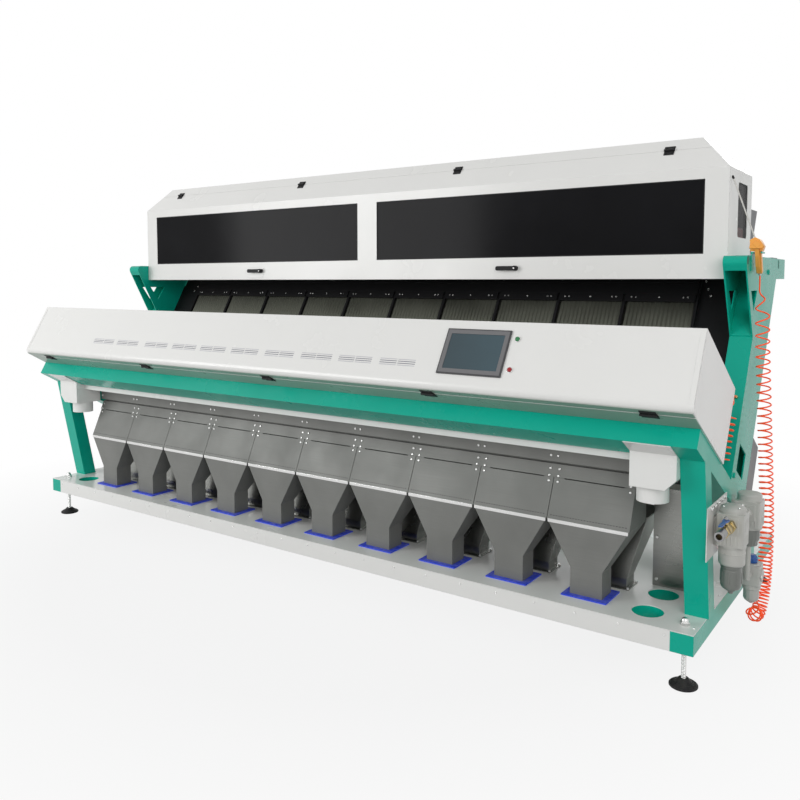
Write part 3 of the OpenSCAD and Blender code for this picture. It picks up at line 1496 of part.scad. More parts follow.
side_rails();
cross_rails();
deck();
hole_collars();
foot_studs();
foot_pads();
legs();
tilted_rails();
front_beam();
left_column();
right_column();
cross_tubes();
front_hoppers();
hopper_covers();
hopper_gaskets();
hopper_rail();
rear_chutes();
dust_duct();
console_shell();
console_door();
console_hinges();
window_panes();
camera_modules();
touch_screen();
screen_glass();
button_bezels();
start_button();
stop_button();
rear_box();
rear_box_cover();
light_bars();
ejector_bar();
wiper_rod();
wiper_carriage();
chutes();
chute_dividers();
hood_shell();
hood_door();
hood_glass();
hood_hinges();
hood_lever_left();
hood_lever_right();
feed_hopper();
feeder_trays();
feeder_drives();
feeder_springs();
air_bracket();
air_filters();
filter_bowls();
filter_regulator();
regulator_knob();
ball_valve();
valve_lever();
gun_hook();
gun_body();
gun_trigger();
gun_nozzle();
hose_coil();
hose_tails();
inner_coil();
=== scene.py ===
"""Dresses the solids of an optical grain sorter with finishes, fittings, hoses and a stage."""

import math

import bmesh
import bpy
from mathutils import Matrix, Vector


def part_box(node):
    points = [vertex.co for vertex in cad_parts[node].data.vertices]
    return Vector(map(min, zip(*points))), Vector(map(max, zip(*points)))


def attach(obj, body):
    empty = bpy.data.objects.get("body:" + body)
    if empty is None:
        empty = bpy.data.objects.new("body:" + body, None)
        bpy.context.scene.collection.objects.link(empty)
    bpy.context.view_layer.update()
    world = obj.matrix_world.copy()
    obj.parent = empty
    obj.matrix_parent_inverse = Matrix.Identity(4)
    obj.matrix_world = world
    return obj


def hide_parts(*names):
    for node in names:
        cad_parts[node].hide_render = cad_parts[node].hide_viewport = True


bl_info = {
    "name": "Optical Sorter Dressing",
    "version": (1, 0, 0),
    "blender": (4, 5, 0),
    "location": "3D View > Sidebar > Sorter",
    "description": "Finishes, fittings, hoses and stage for an optical grain sorter with ten chutes",
    "category": "Object",
}

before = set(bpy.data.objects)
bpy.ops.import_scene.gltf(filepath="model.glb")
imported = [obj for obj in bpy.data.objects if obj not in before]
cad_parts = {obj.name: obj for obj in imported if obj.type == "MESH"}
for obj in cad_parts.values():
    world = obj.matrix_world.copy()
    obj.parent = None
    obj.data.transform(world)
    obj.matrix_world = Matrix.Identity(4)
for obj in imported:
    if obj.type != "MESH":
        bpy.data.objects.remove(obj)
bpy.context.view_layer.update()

# Drawing frame: millimetres, X from the machine's middle, Y from the base's front, Z from the floor
DECK_LOW, DECK_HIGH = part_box("deck")
MIDDLE_X = (DECK_LOW[0] + DECK_HIGH[0]) / 2
FRONT_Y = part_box("side_rails")[0][1]

# Lean of the optical frame and the place of its nose
TILT = math.radians(30)
NOSE_Y = -142
NOSE_Z = 1011

# Places along the machine that several fittings share
CHUTE_PITCH = 330
CHUTE_XS = [(i - 4.5) * CHUTE_PITCH for i in range(10)]
COLUMN_FACE = 1923
AIR_X = 1985
GUN_X = 1945

# Directions of the drawing
TO_RIGHT = (1, 0, 0)
TO_BACK = (0, 1, 0)
TO_FRONT = (0, -1, 0)
UP = (0, 0, 1)
DOWN = (0, 0, -1)

# Matrices that stand a flat outline up: one runs it along X, the other runs it towards the front
SIDEWAYS = Matrix(((0, 0, 1, 0), (1, 0, 0, 0), (0, 1, 0, 0), (0, 0, 0, 1)))
UPRIGHT = Matrix.Rotation(math.radians(90), 4, "X")

# Corners sharper than this many degrees stay sharp; softened edges start a little above it
SHARP_ANGLE = 35
SOFTEN_ANGLE = 38

FINISHES = {}
GROUPS = {}


def at(x, y, z):
    """Turns a point of the drawing into the frame's metres."""
    return Vector((MIDDLE_X + x / 1000, FRONT_Y + y / 1000, z / 1000))


def tilted(x, t, s):
    """Turns a point given along and across the tilted frame into the drawing."""
    y = NOSE_Y + t * math.cos(TILT) + s * math.sin(TILT)
    z = NOSE_Z - t * math.sin(TILT) + s * math.cos(TILT)
    return (x, y, z)


def tilt_place():
    """Matrix that carries X, t, s into the drawing."""
    return Matrix.Translation((0, NOSE_Y, NOSE_Z)) @ Matrix.Rotation(-TILT, 4, "X")


def on_slope(corner, up, out):
    """Matrix that lays X, Y, Z along the machine, up a sloping sheet and out of it."""
    turn = Matrix((Vector(TO_RIGHT), up, out)).transposed().to_4x4()
    return Matrix.Translation(corner) @ turn


# Settings


def colour(label, words, value):
    """A colour setting."""
    return bpy.props.FloatVectorProperty(
        name=label, description=words, subtype="COLOR", size=3, min=0, max=1, default=value
    )


class SorterColours(bpy.types.PropertyGroup):
    """Colours of the machine's finishes."""

    green_paint: colour("Green paint", "Frame, legs and columns", (0.002, 0.43, 0.31))
    white_paint: colour("White paint", "Hood, console, deck and duct", (0.83, 0.83, 0.81))
    grey_paint: colour("Grey paint", "Feed hopper and rear camera box", (0.075, 0.078, 0.085))
    # Black paint also serves as painted shade: the punched lines, the chamber's top and the end windows'
    # insides
    dark_paint: colour("Black paint", "Clamp plates and strips between the chutes", (0.012, 0.012, 0.013))
    red_paint: colour("Red paint", "Feeder drives", (0.42, 0.02, 0.018))
    stainless: colour("Stainless sheet", "Hoppers, covers and trays", (0.19, 0.193, 0.182))
    zinc: colour("Bright steel", "Screws, nuts, stems and pipe fittings", (0.72, 0.72, 0.71))
    chute_plate: colour("Chute plate", "Ridged slides", (0.205, 0.213, 0.175))
    black_plastic: colour("Black plastic", "Levers, hinges and pads", (0.014, 0.014, 0.015))
    blue_rubber: colour("Blue rubber", "Gaskets on the deck", (0.022, 0.062, 0.70))
    smoked_glass: colour("Smoked glass", "Hood and camera windows", (0.006, 0.006, 0.007))
    screen: colour("Screen", "Face of the touch screen", (0.030, 0.062, 0.078))
    green_plastic: colour("Green cap", "Start button", (0.022, 0.20, 0.065))
    red_plastic: colour("Red cap", "Stop button", (0.33, 0.005, 0.008))
    cast_alloy: colour("Cast alloy", "Air filters and regulator", (0.52, 0.52, 0.49))
    brass: colour("Brass", "Ball valve", (0.42, 0.33, 0.16))
    blue_plastic: colour("Blue plastic", "Valve lever and regulator knob", (0.02, 0.10, 0.36))
    amber_plastic: colour("Orange plastic", "Blow gun", (0.97, 0.42, 0.075))
    orange_hose: colour("Orange hose", "Spiral air hoses", (1.0, 0.10, 0.022))
    dull_steel: colour("Dull steel", "Open nipple at the valve", (0.30, 0.30, 0.30))
    tube_steel: colour("Tube steel", "Nozzle tube of the blow gun", (0.56, 0.55, 0.52))
    bowl_plastic: colour("Bowl plastic", "Cups of the air filters", (0.185, 0.195, 0.18))
    # Painted shade and painted green reflection: the console's white undersides coloured as they look in
    # shadow under the green beam
    sage_sheet: colour("Sage sheet", "Painted shade and green reflection under the console", (0.285, 0.37, 0.31))
    bezel_face: colour("Bezel face", "Flat of the screen's bezel", (0.155, 0.154, 0.160))
    bezel_rim: colour("Bezel rim", "Rim round the screen's bezel", (0.045, 0.045, 0.048))
    green_shadow: colour("Green shadow", "Painted shade in the columns' slots", (0.004, 0.115, 0.08))
    # Painted shade: dark and faint lines stand for the shaded slots of the console's vents
    vent_deep: colour("Vent depth", "Painted shade of a vent's middle slots", (0.10, 0.10, 0.15))
    vent_shadow: colour("Vent shadow", "Painted fainter shade of a vent's outer slots", (0.50, 0.50, 0.54))


def length(label, words, value):
    """A length setting in metres."""
    return bpy.props.FloatProperty(
        name=label, description=words, subtype="DISTANCE", unit="LENGTH", min=0, default=value
    )


class SorterSizes(bpy.types.PropertyGroup):
    """Sizes of the fittings that the dressing adds."""

    hose_d: length("Hose", "Outside diameter of the long spiral hose", 0.006)
    coil_r: length("Coil radius", "Radius of the long hose's turns at their middle", 0.0258)
    short_hose_d: length("Short hose", "Outside diameter of the short spiral hose", 0.0045)
    short_coil_r: length("Short coil radius", "Radius of the short hose's turns", 0.0195)
    edge_r: length("Sheet edge", "Rounding of folded and cut sheet edges", 0.0022)
    steel_edge_r: length("Steel edge", "Rounding of the stainless folds", 0.0016)
    screw_d: length("Screw head", "Diameter of the sheet screws' heads", 0.010)
    bolt_d: length("Bolt", "Width across flats of the frame bolts", 0.019)
    vent_l: length("Vent slot", "Length of one vent slot in the console", 0.085)
    vent_h: length("Vent height", "Height of one vent slot", 0.0026)
    leaf_l: length("Hinge leaf", "Depth of a hinge leaf", 0.022)
    seal_w: length("Window seal", "Width of the seal round a window", 0.005)


def sizes():
    """Sizes in drawing millimetres, by name."""
    group = bpy.context.scene.sorter_sizes
    return {key: getattr(group, key) * 1000 for key in SorterSizes.__annotations__}


# Mesh tools


def add_box(bm, low, high, place=None):
    """A box by its limits, carried by a matrix where one is given."""
    place = place or Matrix()
    corners = [(x, y, z) for x in (low[0], high[0]) for y in (low[1], high[1]) for z in (low[2], high[2])]
    verts = [bm.verts.new(place @ Vector(c)) for c in corners]
    for ids in ((0, 1, 3, 2), (4, 6, 7, 5), (0, 4, 5, 1), (2, 3, 7, 6), (0, 2, 6, 4), (1, 5, 7, 3)):
        bm.faces.new([verts[i] for i in ids])


def facing(base, axis):
    """Matrix that stands Z along an axis at a point."""
    turn = Vector(UP).rotation_difference(Vector(axis).normalized())
    return Matrix.Translation(base) @ turn.to_matrix().to_4x4()


def add_turned(bm, base, axis, profile, sides=28, lobes=0, lobe_depth=0.0):
    """A turned form: pairs of radius and height along an axis, with lobes where asked."""
    place = facing(base, axis)
    rings = []
    for radius, height in profile:
        if radius < 0.001:
            rings.append([bm.verts.new(place @ Vector((0, 0, height)))])
            continue
        ring = []
        for k in range(sides):
            angle = 2 * math.pi * k / sides
            reach = radius
            if lobes:
                reach = radius - lobe_depth * (0.5 + 0.5 * math.cos(lobes * angle))
            spot = Vector((reach * math.cos(angle), reach * math.sin(angle), height))
            ring.append(bm.verts.new(place @ spot))
        rings.append(ring)
    for low, high in zip(rings, rings[1:]):
        if len(low) == 1 and len(high) == 1:
            continue
        for k in range(sides):
            n = (k + 1) % sides
            if len(low) == 1:
                bm.faces.new((low[0], high[k], high[n]))
            elif len(high) == 1:
                bm.faces.new((low[k], high[0], low[n]))
            else:
                bm.faces.new((low[k], low[n], high[n], high[k]))


def rod(radius, low, high):
    """Profile of a plain round rod between two heights."""
    return [(0, low), (radius, low), (radius, high), (0, high)]


def add_prism(bm, outline, low, high, place=None):
    """An outline in two axes run along the third between two heights."""
    place = place or Matrix()
    bottom = [bm.verts.new(place @ Vector((u, v, low))) for u, v in outline]
    top = [bm.verts.new(place @ Vector((u, v, high))) for u, v in outline]
    bm.faces.new(list(reversed(bottom)))
    bm.faces.new(top)
    count = len(outline)
    for k in range(count):
        n = (k + 1) % count
        bm.faces.new((bottom[k], bottom[n], top[n], top[k]))


def rounded(width, height, radius, steps=5, middle=(0, 0)):
    """Outline of a rectangle with rounded corners."""
    points = []
    for corner in range(4):
        sx = (1, -1, -1, 1)[corner]
        sy = (1, 1, -1, -1)[corner]
        for k in range(steps + 1):
            angle = math.pi / 2 * (corner + k / steps)
            u = middle[0] + sx * (width / 2 - radius) + radius * math.cos(angle)
            v = middle[1] + sy * (height / 2 - radius) + radius * math.sin(angle)
            points.append((u, v))
    return points


def add_ring_frame(bm, x, z, width, y0, y1):
    """A flat frame round an opening in the X Z plane, as one closed ring."""
    inner = [(x[0], z[0]), (x[1], z[0]), (x[1], z[1]), (x[0], z[1])]
    outer = [
        (x[0] - width, z[0] - width),
        (x[1] + width, z[0] - width),
        (x[1] + width, z[1] + width),
        (x[0] - width, z[1] + width),
    ]
    loops = []
    for points, y in ((inner, y0), (outer, y0), (outer, y1), (inner, y1)):
        loops.append([bm.verts.new((px, y, pz)) for px, pz in points])
    for i in range(4):
        a = loops[i]
        b = loops[(i + 1) % 4]
        for k in range(4):
            n = (k + 1) % 4
            bm.faces.new((a[k], a[n], b[n], b[k]))


def add_screw(bm, base, axis, diameter, sides=16):
    """A pan head with a shallow hexagon recess."""
    r = diameter / 2
    profile = [(0, -0.4), (r, -0.4), (r, 0.30 * r), (0.82 * r, 0.56 * r), (0.45 * r, 0.62 * r)]
    profile += [(0.40 * r, 0.25 * r), (0, 0.25 * r)]
    add_turned(bm, base, axis, profile, sides)


def add_hex(bm, base, axis, flats, height, washer=True):
    """A hexagon head with a chamfer, on a washer where asked."""
    r = flats / math.sqrt(3)
    rise = 0.0
    if washer:
        rise = 0.12 * flats
        add_turned(bm, base, axis, rod(1.05 * r, -0.4, rise), 24)
    top = rise + height
    profile = [(0, rise), (r, rise), (r, rise + 0.8 * height), (0.86 * r, top), (0, top)]
    add_turned(bm, base, axis, profile, 6)


def make_piece(name, bm, finish, body="frame", soften=0.0, place=None, replaces=None):
    """Turns a drawing mesh into a named piece on a body, in place of a node where one is named."""
    bmesh.ops.recalc_face_normals(bm, faces=bm.faces)
    for vert in bm.verts:
        point = place @ vert.co if place else vert.co
        vert.co = at(*point)
    mesh = bpy.data.meshes.new(name)
    bm.to_mesh(mesh)
    bm.free()
    mesh.materials.append(FINISHES[finish])
    mesh.shade_smooth()
    mesh.set_sharp_from_angle(angle=math.radians(SHARP_ANGLE))
    piece = bpy.data.objects.new(name, mesh)
    bpy.context.scene.collection.objects.link(piece)
    if soften:
        bevel = piece.modifiers.new("Softened edges", "BEVEL")
        bevel.width = soften / 1000
        bevel.segments = 2
        bevel.limit_method = "ANGLE"
        bevel.angle_limit = math.radians(SOFTEN_ANGLE)
        bevel.harden_normals = True
    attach(piece, body)
    if replaces:
        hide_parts(replaces)


# Finishes

# Colour of settled grain dust, and depths of paint peel and metal grain in metres
DUST_COLOUR = (0.62, 0.58, 0.50)
PEEL_DEPTH = 0.0006
GRAIN_DEPTH = 0.0004


def shader_group(name, inputs, outputs):
    """An empty shader group with its sockets."""
    tree = bpy.data.node_groups.new(name, "ShaderNodeTree")
    for label, kind, value in inputs:
        socket = tree.interface.new_socket(label, in_out="INPUT", socket_type=kind)
        socket.default_value = value
    for label, kind in outputs:
        tree.interface.new_socket(label, in_out="OUTPUT", socket_type=kind)
    start = tree.nodes.new("NodeGroupInput")
    end = tree.nodes.new("NodeGroupOutput")
    return tree, start, end


def math_node(tree, operation, a, b):
    """A maths node fed by sockets or numbers."""
    node = tree.nodes.new("ShaderNodeMath")
    node.operation = operation
    for socket, value in zip(node.inputs, (a, b)):
        if isinstance(value, (int, float)):
            socket.default_value = value
        else:
            tree.links.new(value, socket)
    return node.outputs[0]


def noise_node(tree, vector, scale, detail=3.0, roughness=0.55):
    """A noise texture read at a vector."""
    node = tree.nodes.new("ShaderNodeTexNoise")
    node.inputs["Detail"].default_value = detail
    node.inputs["Roughness"].default_value = roughness
    tree.links.new(vector, node.inputs["Vector"])
    if isinstance(scale, (int, float)):
        node.inputs["Scale"].default_value = scale
    else:
        tree.links.new(scale, node.inputs["Scale"])
    return node.outputs["Fac"]


def remap(tree, value, low, high, to_low, to_high):
    """Stretches a value from one span to another, held at the ends."""
    node = tree.nodes.new("ShaderNodeMapRange")
    tree.links.new(value, node.inputs["Value"])
    for label, number in (("From Min", low), ("From Max", high), ("To Min", to_low), ("To Max", to_high)):
        node.inputs[label].default_value = number
    return node.outputs["Result"]


def sprayed_sheet_group():
    """Orange peel of sprayed paint and the slow mottle of a large sheet."""
    inputs = [("Scale", "NodeSocketFloat", 900.0), ("Mottle Scale", "NodeSocketFloat", 3.0)]
    outputs = [("Mottle", "NodeSocketFloat"), ("Height", "NodeSocketFloat")]
    tree, start, end = shader_group("Sprayed sheet", inputs, outputs)
    place = tree.nodes.new("ShaderNodeTexCoord").outputs["Object"]
    slow = noise_node(tree, place, start.outputs["Mottle Scale"], 4.0, 0.6)
    peel = noise_node(tree, place, start.outputs["Scale"], 1.0, 0.4)
    tree.links.new(remap(tree, slow, 0.3, 0.7, 0.0, 1.0), end.inputs["Mottle"])
    tree.links.new(peel, end.inputs["Height"])
    return tree


def brushed_grain_group():
    """Long scratches of brushed or rolled metal along X, with slow cloudiness."""
    inputs = [("Scale", "NodeSocketFloat", 1.0)]
    outputs = [("Streak", "NodeSocketFloat"), ("Cloud", "NodeSocketFloat"), ("Height", "NodeSocketFloat")]
    tree, start, end = shader_group("Brushed grain", inputs, outputs)
    place = tree.nodes.new("ShaderNodeTexCoord").outputs["Object"]
    stretch = tree.nodes.new("ShaderNodeMapping")
    stretch.inputs["Scale"].default_value = (7.0, 240.0, 240.0)
    tree.links.new(place, stretch.inputs["Vector"])
    streak = noise_node(tree, stretch.outputs["Vector"], start.outputs["Scale"], 5.0, 0.7)
    cloud = noise_node(tree, place, 5.0, 3.0, 0.5)
    tree.links.new(remap(tree, streak, 0.3, 0.7, 0.0, 1.0), end.inputs["Streak"])
    tree.links.new(remap(tree, cloud, 0.3, 0.7, 0.0, 1.0), end.inputs["Cloud"])
    tree.links.new(streak, end.inputs["Height"])
    return tree


def rounded_edges_group():
    """Rounded normal at edges and a mask of where the edges are."""
    inputs = [("Radius", "NodeSocketFloat", 0.002)]
    outputs = [("Normal", "NodeSocketVector"), ("Edge", "NodeSocketFloat")]
    tree, start, end = shader_group("Rounded edges", inputs, outputs)
    bevel = tree.nodes.new("ShaderNodeBevel")
    bevel.samples = 6
    tree.links.new(start.outputs["Radius"], bevel.inputs["Radius"])
    true_normal = tree.nodes.new("ShaderNodeNewGeometry").outputs["Normal"]
    dot = tree.nodes.new("ShaderNodeVectorMath")
    dot.operation = "DOT_PRODUCT"
    tree.links.new(bevel.outputs["Normal"], dot.inputs[0])
    tree.links.new(true_normal, dot.inputs[1])
    edge = remap(tree, dot.outputs["Value"], 0.998, 0.85, 0.0, 1.0)
    tree.links.new(bevel.outputs["Normal"], end.inputs["Normal"])
    tree.links.new(edge, end.inputs["Edge"])
    return tree


def settled_dust_group():
    """Mask of fine grain dust on faces that look up."""
    inputs = [("Amount", "NodeSocketFloat", 0.3)]
    outputs = [("Dust", "NodeSocketFloat")]
    tree, start, end = shader_group("Settled dust", inputs, outputs)
    place = tree.nodes.new("ShaderNodeTexCoord").outputs["Object"]
    split = tree.nodes.new("ShaderNodeSeparateXYZ")
    tree.links.new(tree.nodes.new("ShaderNodeNewGeometry").outputs["Normal"], split.inputs[0])
    up = remap(tree, split.outputs["Z"], 0.5, 1.0, 0.0, 1.0)
    specks = remap(tree, noise_node(tree, place, 38.0, 6.0, 0.7), 0.42, 0.72, 0.0, 1.0)
    mask = math_node(tree, "MULTIPLY", math_node(tree, "MULTIPLY", up, specks), start.outputs["Amount"])
    tree.links.new(mask, end.inputs["Dust"])
    return tree


def use_group(tree, key, **values):
    """Puts a shared group into a material and sets its inputs."""
    node = tree.nodes.new("ShaderNodeGroup")
    node.node_tree = GROUPS[key]
    for label, value in values.items():
        node.inputs[label.replace("_", " ")].default_value = value
    return node


def mix_colour(tree, factor, a, b):
    """Mixes two colours by a factor; each is a socket or three numbers."""
    node = tree.nodes.new("ShaderNodeMix")
    node.data_type = "RGBA"
    tree.links.new(factor, node.inputs["Factor"])
    for socket, value in ((node.inputs[6], a), (node.inputs[7], b)):
        if isinstance(value, (tuple, list)):
            socket.default_value = (*value, 1.0)
        else:
            tree.links.new(value, socket)
    return node.outputs[2]


def blank_material(name):
    """A material with a Principled shader and its output only."""
    material = bpy.data.materials.new(name)
    material.use_nodes = True
    tree = material.node_tree
    shader = next(n for n in tree.nodes if n.type == "BSDF_PRINCIPLED")
    return material, tree, shader


def shade(value, factor):
    """A colour made lighter or darker."""
    return tuple(min(1.0, channel * factor) for channel in value)


def add_bump(tree, shader, height, normal, strength, distance):
    """Feeds a height through a bump node on top of the rounded normal."""
    bump = tree.nodes.new("ShaderNodeBump")
    bump.inputs["Strength"].default_value = strength
    bump.inputs["Distance"].default_value = distance
    tree.links.new(height, bump.inputs["Height"])
    tree.links.new(normal, bump.inputs["Normal"])
    tree.links.new(bump.outputs["Normal"], shader.inputs["Normal"])


def painted(
    name, value, roughness, radius, peel=900.0, spread=0.05, dust=0.25, edge=1.12, bump=0.06, gloss=0.5
):
    """Sprayed or moulded surface: peel, mottle, painted highlights on the edges and dust on top."""
    material, tree, shader = blank_material(name)
    shader.inputs["Specular IOR Level"].default_value = gloss
    sheet = use_group(tree, "sheet", Scale=peel)
    edges = use_group(tree, "edges", Radius=radius)
    soil = use_group(tree, "dust", Amount=dust)
    low = shade(value, 1 - spread)
    high = shade(value, 1 + spread / 2)
    body = mix_colour(tree, sheet.outputs["Mottle"], low, high)
    # Painted highlight: edges are lightened by the edge factor as if light caught them
    edge_highlight = mix_colour(tree, edges.outputs["Edge"], body, shade(value, edge))
    dusty = mix_colour(tree, soil.outputs["Dust"], edge_highlight, DUST_COLOUR)
    tree.links.new(dusty, shader.inputs["Base Color"])
    sheen = remap(tree, sheet.outputs["Mottle"], 0.0, 1.0, roughness + 0.05, roughness - 0.05)
    tree.links.new(sheen, shader.inputs["Roughness"])
    add_bump(tree, shader, sheet.outputs["Height"], edges.outputs["Normal"], bump, PEEL_DEPTH)
    return material


def brushed(name, value, roughness, radius, scale=1.0, spread=0.12, edge=1.5, bump=0.08, metal=1.0):
    """Brushed or rolled metal: streaks, clouds and painted highlights on the edges."""
    material, tree, shader = blank_material(name)
    shader.inputs["Metallic"].default_value = metal
    grain = use_group(tree, "grain", Scale=scale)
    edges = use_group(tree, "edges", Radius=radius)
    low = shade(value, 1 - spread)
    high = shade(value, 1 + spread)
    streaks = mix_colour(tree, grain.outputs["Streak"], low, high)
    clouds = mix_colour(tree, grain.outputs["Cloud"], shade(value, 0.86), streaks)
    # Painted highlight: edges are lightened by the edge factor as if light caught them
    edge_highlight = mix_colour(tree, edges.outputs["Edge"], clouds, shade(value, edge))
    tree.links.new(edge_highlight, shader.inputs["Base Color"])
    gloss = remap(tree, grain.outputs["Cloud"], 0.0, 1.0, roughness + 0.07, roughness - 0.05)
    tree.links.new(gloss, shader.inputs["Roughness"])
    add_bump(tree, shader, grain.outputs["Height"], edges.outputs["Normal"], bump, GRAIN_DEPTH)
    return material


def smoked(name, value, shine, cover):
    """Dark window: a deep tint with faint clouds and a quiet gloss, see-through by its cover."""
    material, tree, shader = blank_material(name)
    shader.inputs["Alpha"].default_value = cover
    sheet = use_group(tree, "sheet", Scale=60.0, Mottle_Scale=1.4)
    edges = use_group(tree, "edges", Radius=0.001)
    soil = use_group(tree, "dust", Amount=0.05)
    tint = mix_colour(tree, sheet.outputs["Mottle"], shade(value, 0.7), shade(value, 1.5))
    hazy = mix_colour(tree, soil.outputs["Dust"], tint, (0.2, 0.2, 0.2))
    tree.links.new(hazy, shader.inputs["Base Color"])
    gloss = remap(tree, sheet.outputs["Mottle"], 0.0, 1.0, 0.10, 0.16)
    tree.links.new(gloss, shader.inputs["Roughness"])
    shader.inputs["Specular IOR Level"].default_value = shine
    tree.links.new(edges.outputs["Normal"], shader.inputs["Normal"])
    return material


def dark_screen(name, value):
    """Face of a screen at rest: dark glass, with a painted reflection that makes it a little lighter towards
    its right.
    """
    material, tree, shader = blank_material(name)
    place = tree.nodes.new("ShaderNodeTexCoord").outputs["Object"]
    split = tree.nodes.new("ShaderNodeSeparateXYZ")
    tree.links.new(place, split.inputs[0])
    left = at(SCREEN_X - SCREEN_GLASS_W / 2, 0, 0).x
    right = at(SCREEN_X + SCREEN_GLASS_W / 2, 0, 0).x
    # Painted reflection: the face lightens from left to right
    across = remap(tree, split.outputs["X"], left, right, 0.0, 0.8)
    haze = noise_node(tree, place, 9.0, 2.0, 0.5)
    blend = math_node(tree, "ADD", across, math_node(tree, "MULTIPLY", haze, 0.3))
    face = mix_colour(tree, blend, shade(value, 0.8), shade(value, 1.25))
    tree.links.new(face, shader.inputs["Base Color"])
    tree.links.new(remap(tree, haze, 0.3, 0.7, 0.16, 0.26), shader.inputs["Roughness"])
    return material


# Edge sizes of the hose and of slots in metres, and the painted light of the hose: a glow in its own colour
# that lifts its shaded side
HOSE_EDGE = 0.0005
SLOT_EDGE = 0.0003
HOSE_PAINTED_LIGHT = 0.22

# Painted and moulded finishes: colour setting, name, roughness, kind of edge, what differs from the usual
PAINTS = (
    ("green_paint", "Green paint", 0.28, "sheet", {"dust": 0.06, "edge": 1.2, "gloss": 0.22}),
    ("white_paint", "White paint", 0.24, "sheet", {"spread": 0.015, "dust": 0.02, "edge": 1.05}),
    ("grey_paint", "Grey paint", 0.42, "sheet", {"dust": 0.08, "edge": 1.5}),
    ("dark_paint", "Black paint", 0.55, "steel", {"dust": 0.02, "edge": 1.8, "gloss": 0.15}),
    ("red_paint", "Red paint", 0.35, "steel", {"edge": 1.3}),
    ("black_plastic", "Black plastic", 0.5, "steel",
     {"peel": 1600.0, "dust": 0.1, "edge": 1.6, "gloss": 0.18}),
    ("blue_rubber", "Blue rubber", 0.6, "steel", {"peel": 700.0, "bump": 0.15}),
    ("green_plastic", "Green cap", 0.28, "steel", {"peel": 1500.0, "dust": 0.0}),
    ("red_plastic", "Red cap", 0.28, "steel", {"peel": 1500.0, "dust": 0.0}),
    ("cast_alloy", "Cast alloy", 0.40, "steel",
     {"peel": 420.0, "spread": 0.10, "dust": 0.15, "edge": 1.25, "bump": 0.22}),
    ("bowl_plastic", "Bowl plastic", 0.3, "steel", {"peel": 1200.0, "dust": 0.0}),
    ("sage_sheet", "Sage sheet", 0.3, "steel", {"dust": 0.0}),
    ("blue_plastic", "Blue plastic", 0.36, "steel", {"peel": 1500.0}),
    ("amber_plastic", "Orange plastic", 0.33, "steel", {"peel": 1300.0}),
    ("orange_hose", "Orange hose", 0.34, "hose", {"peel": 1800.0, "dust": 0.0, "gloss": 0.25}),
    ("bezel_face", "Bezel face", 0.38, "steel", {"peel": 1500.0}),
    ("bezel_rim", "Bezel rim", 0.42, "steel", {"peel": 1500.0}),
    ("green_shadow", "Green shadow", 0.6, "slot", {"dust": 0.0}),
    ("vent_deep", "Vent depth", 0.6, "slot", {"dust": 0.0}),
    ("vent_shadow", "Vent shadow", 0.6, "slot", {"dust": 0.0}),
)

# Metal finishes: colour setting, name, roughness and what differs from the usual
METALS = (
    ("stainless", "Stainless sheet", 0.52, {"spread": 0.06, "metal": 0.25}),
    ("zinc", "Bright steel", 0.26, {"scale": 3.0, "edge": 1.25}),
    ("dull_steel", "Dull steel", 0.4, {"scale": 3.0, "edge": 1.2}),
    ("tube_steel", "Tube steel", 0.42, {"scale": 3.0, "metal": 0.45}),
    ("chute_plate", "Chute plate", 0.44, {"spread": 0.04, "edge": 1.4, "bump": 0.03}),
    ("brass", "Brass", 0.30, {"scale": 3.0, "edge": 1.3}),
)

# Finish of each solid
NODE_FINISHES = {
    "green_paint": (
        "side_rails", "cross_rails", "hole_collars", "legs", "tilted_rails", "front_beam", "left_column",
        "right_column", "cross_tubes", "gun_hook",
    ),
    "white_paint": (
        "deck", "dust_duct", "console_shell", "console_door", "hood_shell", "hood_door", "rear_box_cover",
        "air_bracket", "light_bars",
    ),
    "grey_paint": ("feed_hopper", "rear_box", "touch_screen"),
    "dark_paint": ("chute_dividers", "camera_modules", "wiper_carriage", "feeder_springs"),
    "red_paint": ("feeder_drives",),
    "stainless": ("front_hoppers", "hopper_covers", "hopper_rail", "feeder_trays", "wiper_rod"),
    "bright_sheet": ("rear_chutes",),
    "zinc": ("foot_studs", "gun_nozzle", "button_bezels"),
    "chute_plate": ("chutes",),
    "black_plastic": ("foot_pads", "console_hinges", "hood_hinges", "hood_lever_left", "hood_lever_right"),
    "blue_rubber": ("hopper_gaskets",),
    "smoked_glass": ("hood_glass",),
    "end_glass": ("window_panes",),
    "screen": ("screen_glass",),
    "green_plastic": ("start_button",),
    "red_plastic": ("stop_button",),
    "cast_alloy": ("air_filters", "filter_regulator", "ejector_bar"),
    "bowl_plastic": ("filter_bowls",),
    "brass": ("ball_valve",),
    "blue_plastic": ("regulator_knob", "valve_lever"),
    "amber_plastic": ("gun_body", "gun_trigger"),
    "orange_hose": ("hose_coil", "hose_tails", "inner_coil"),
}


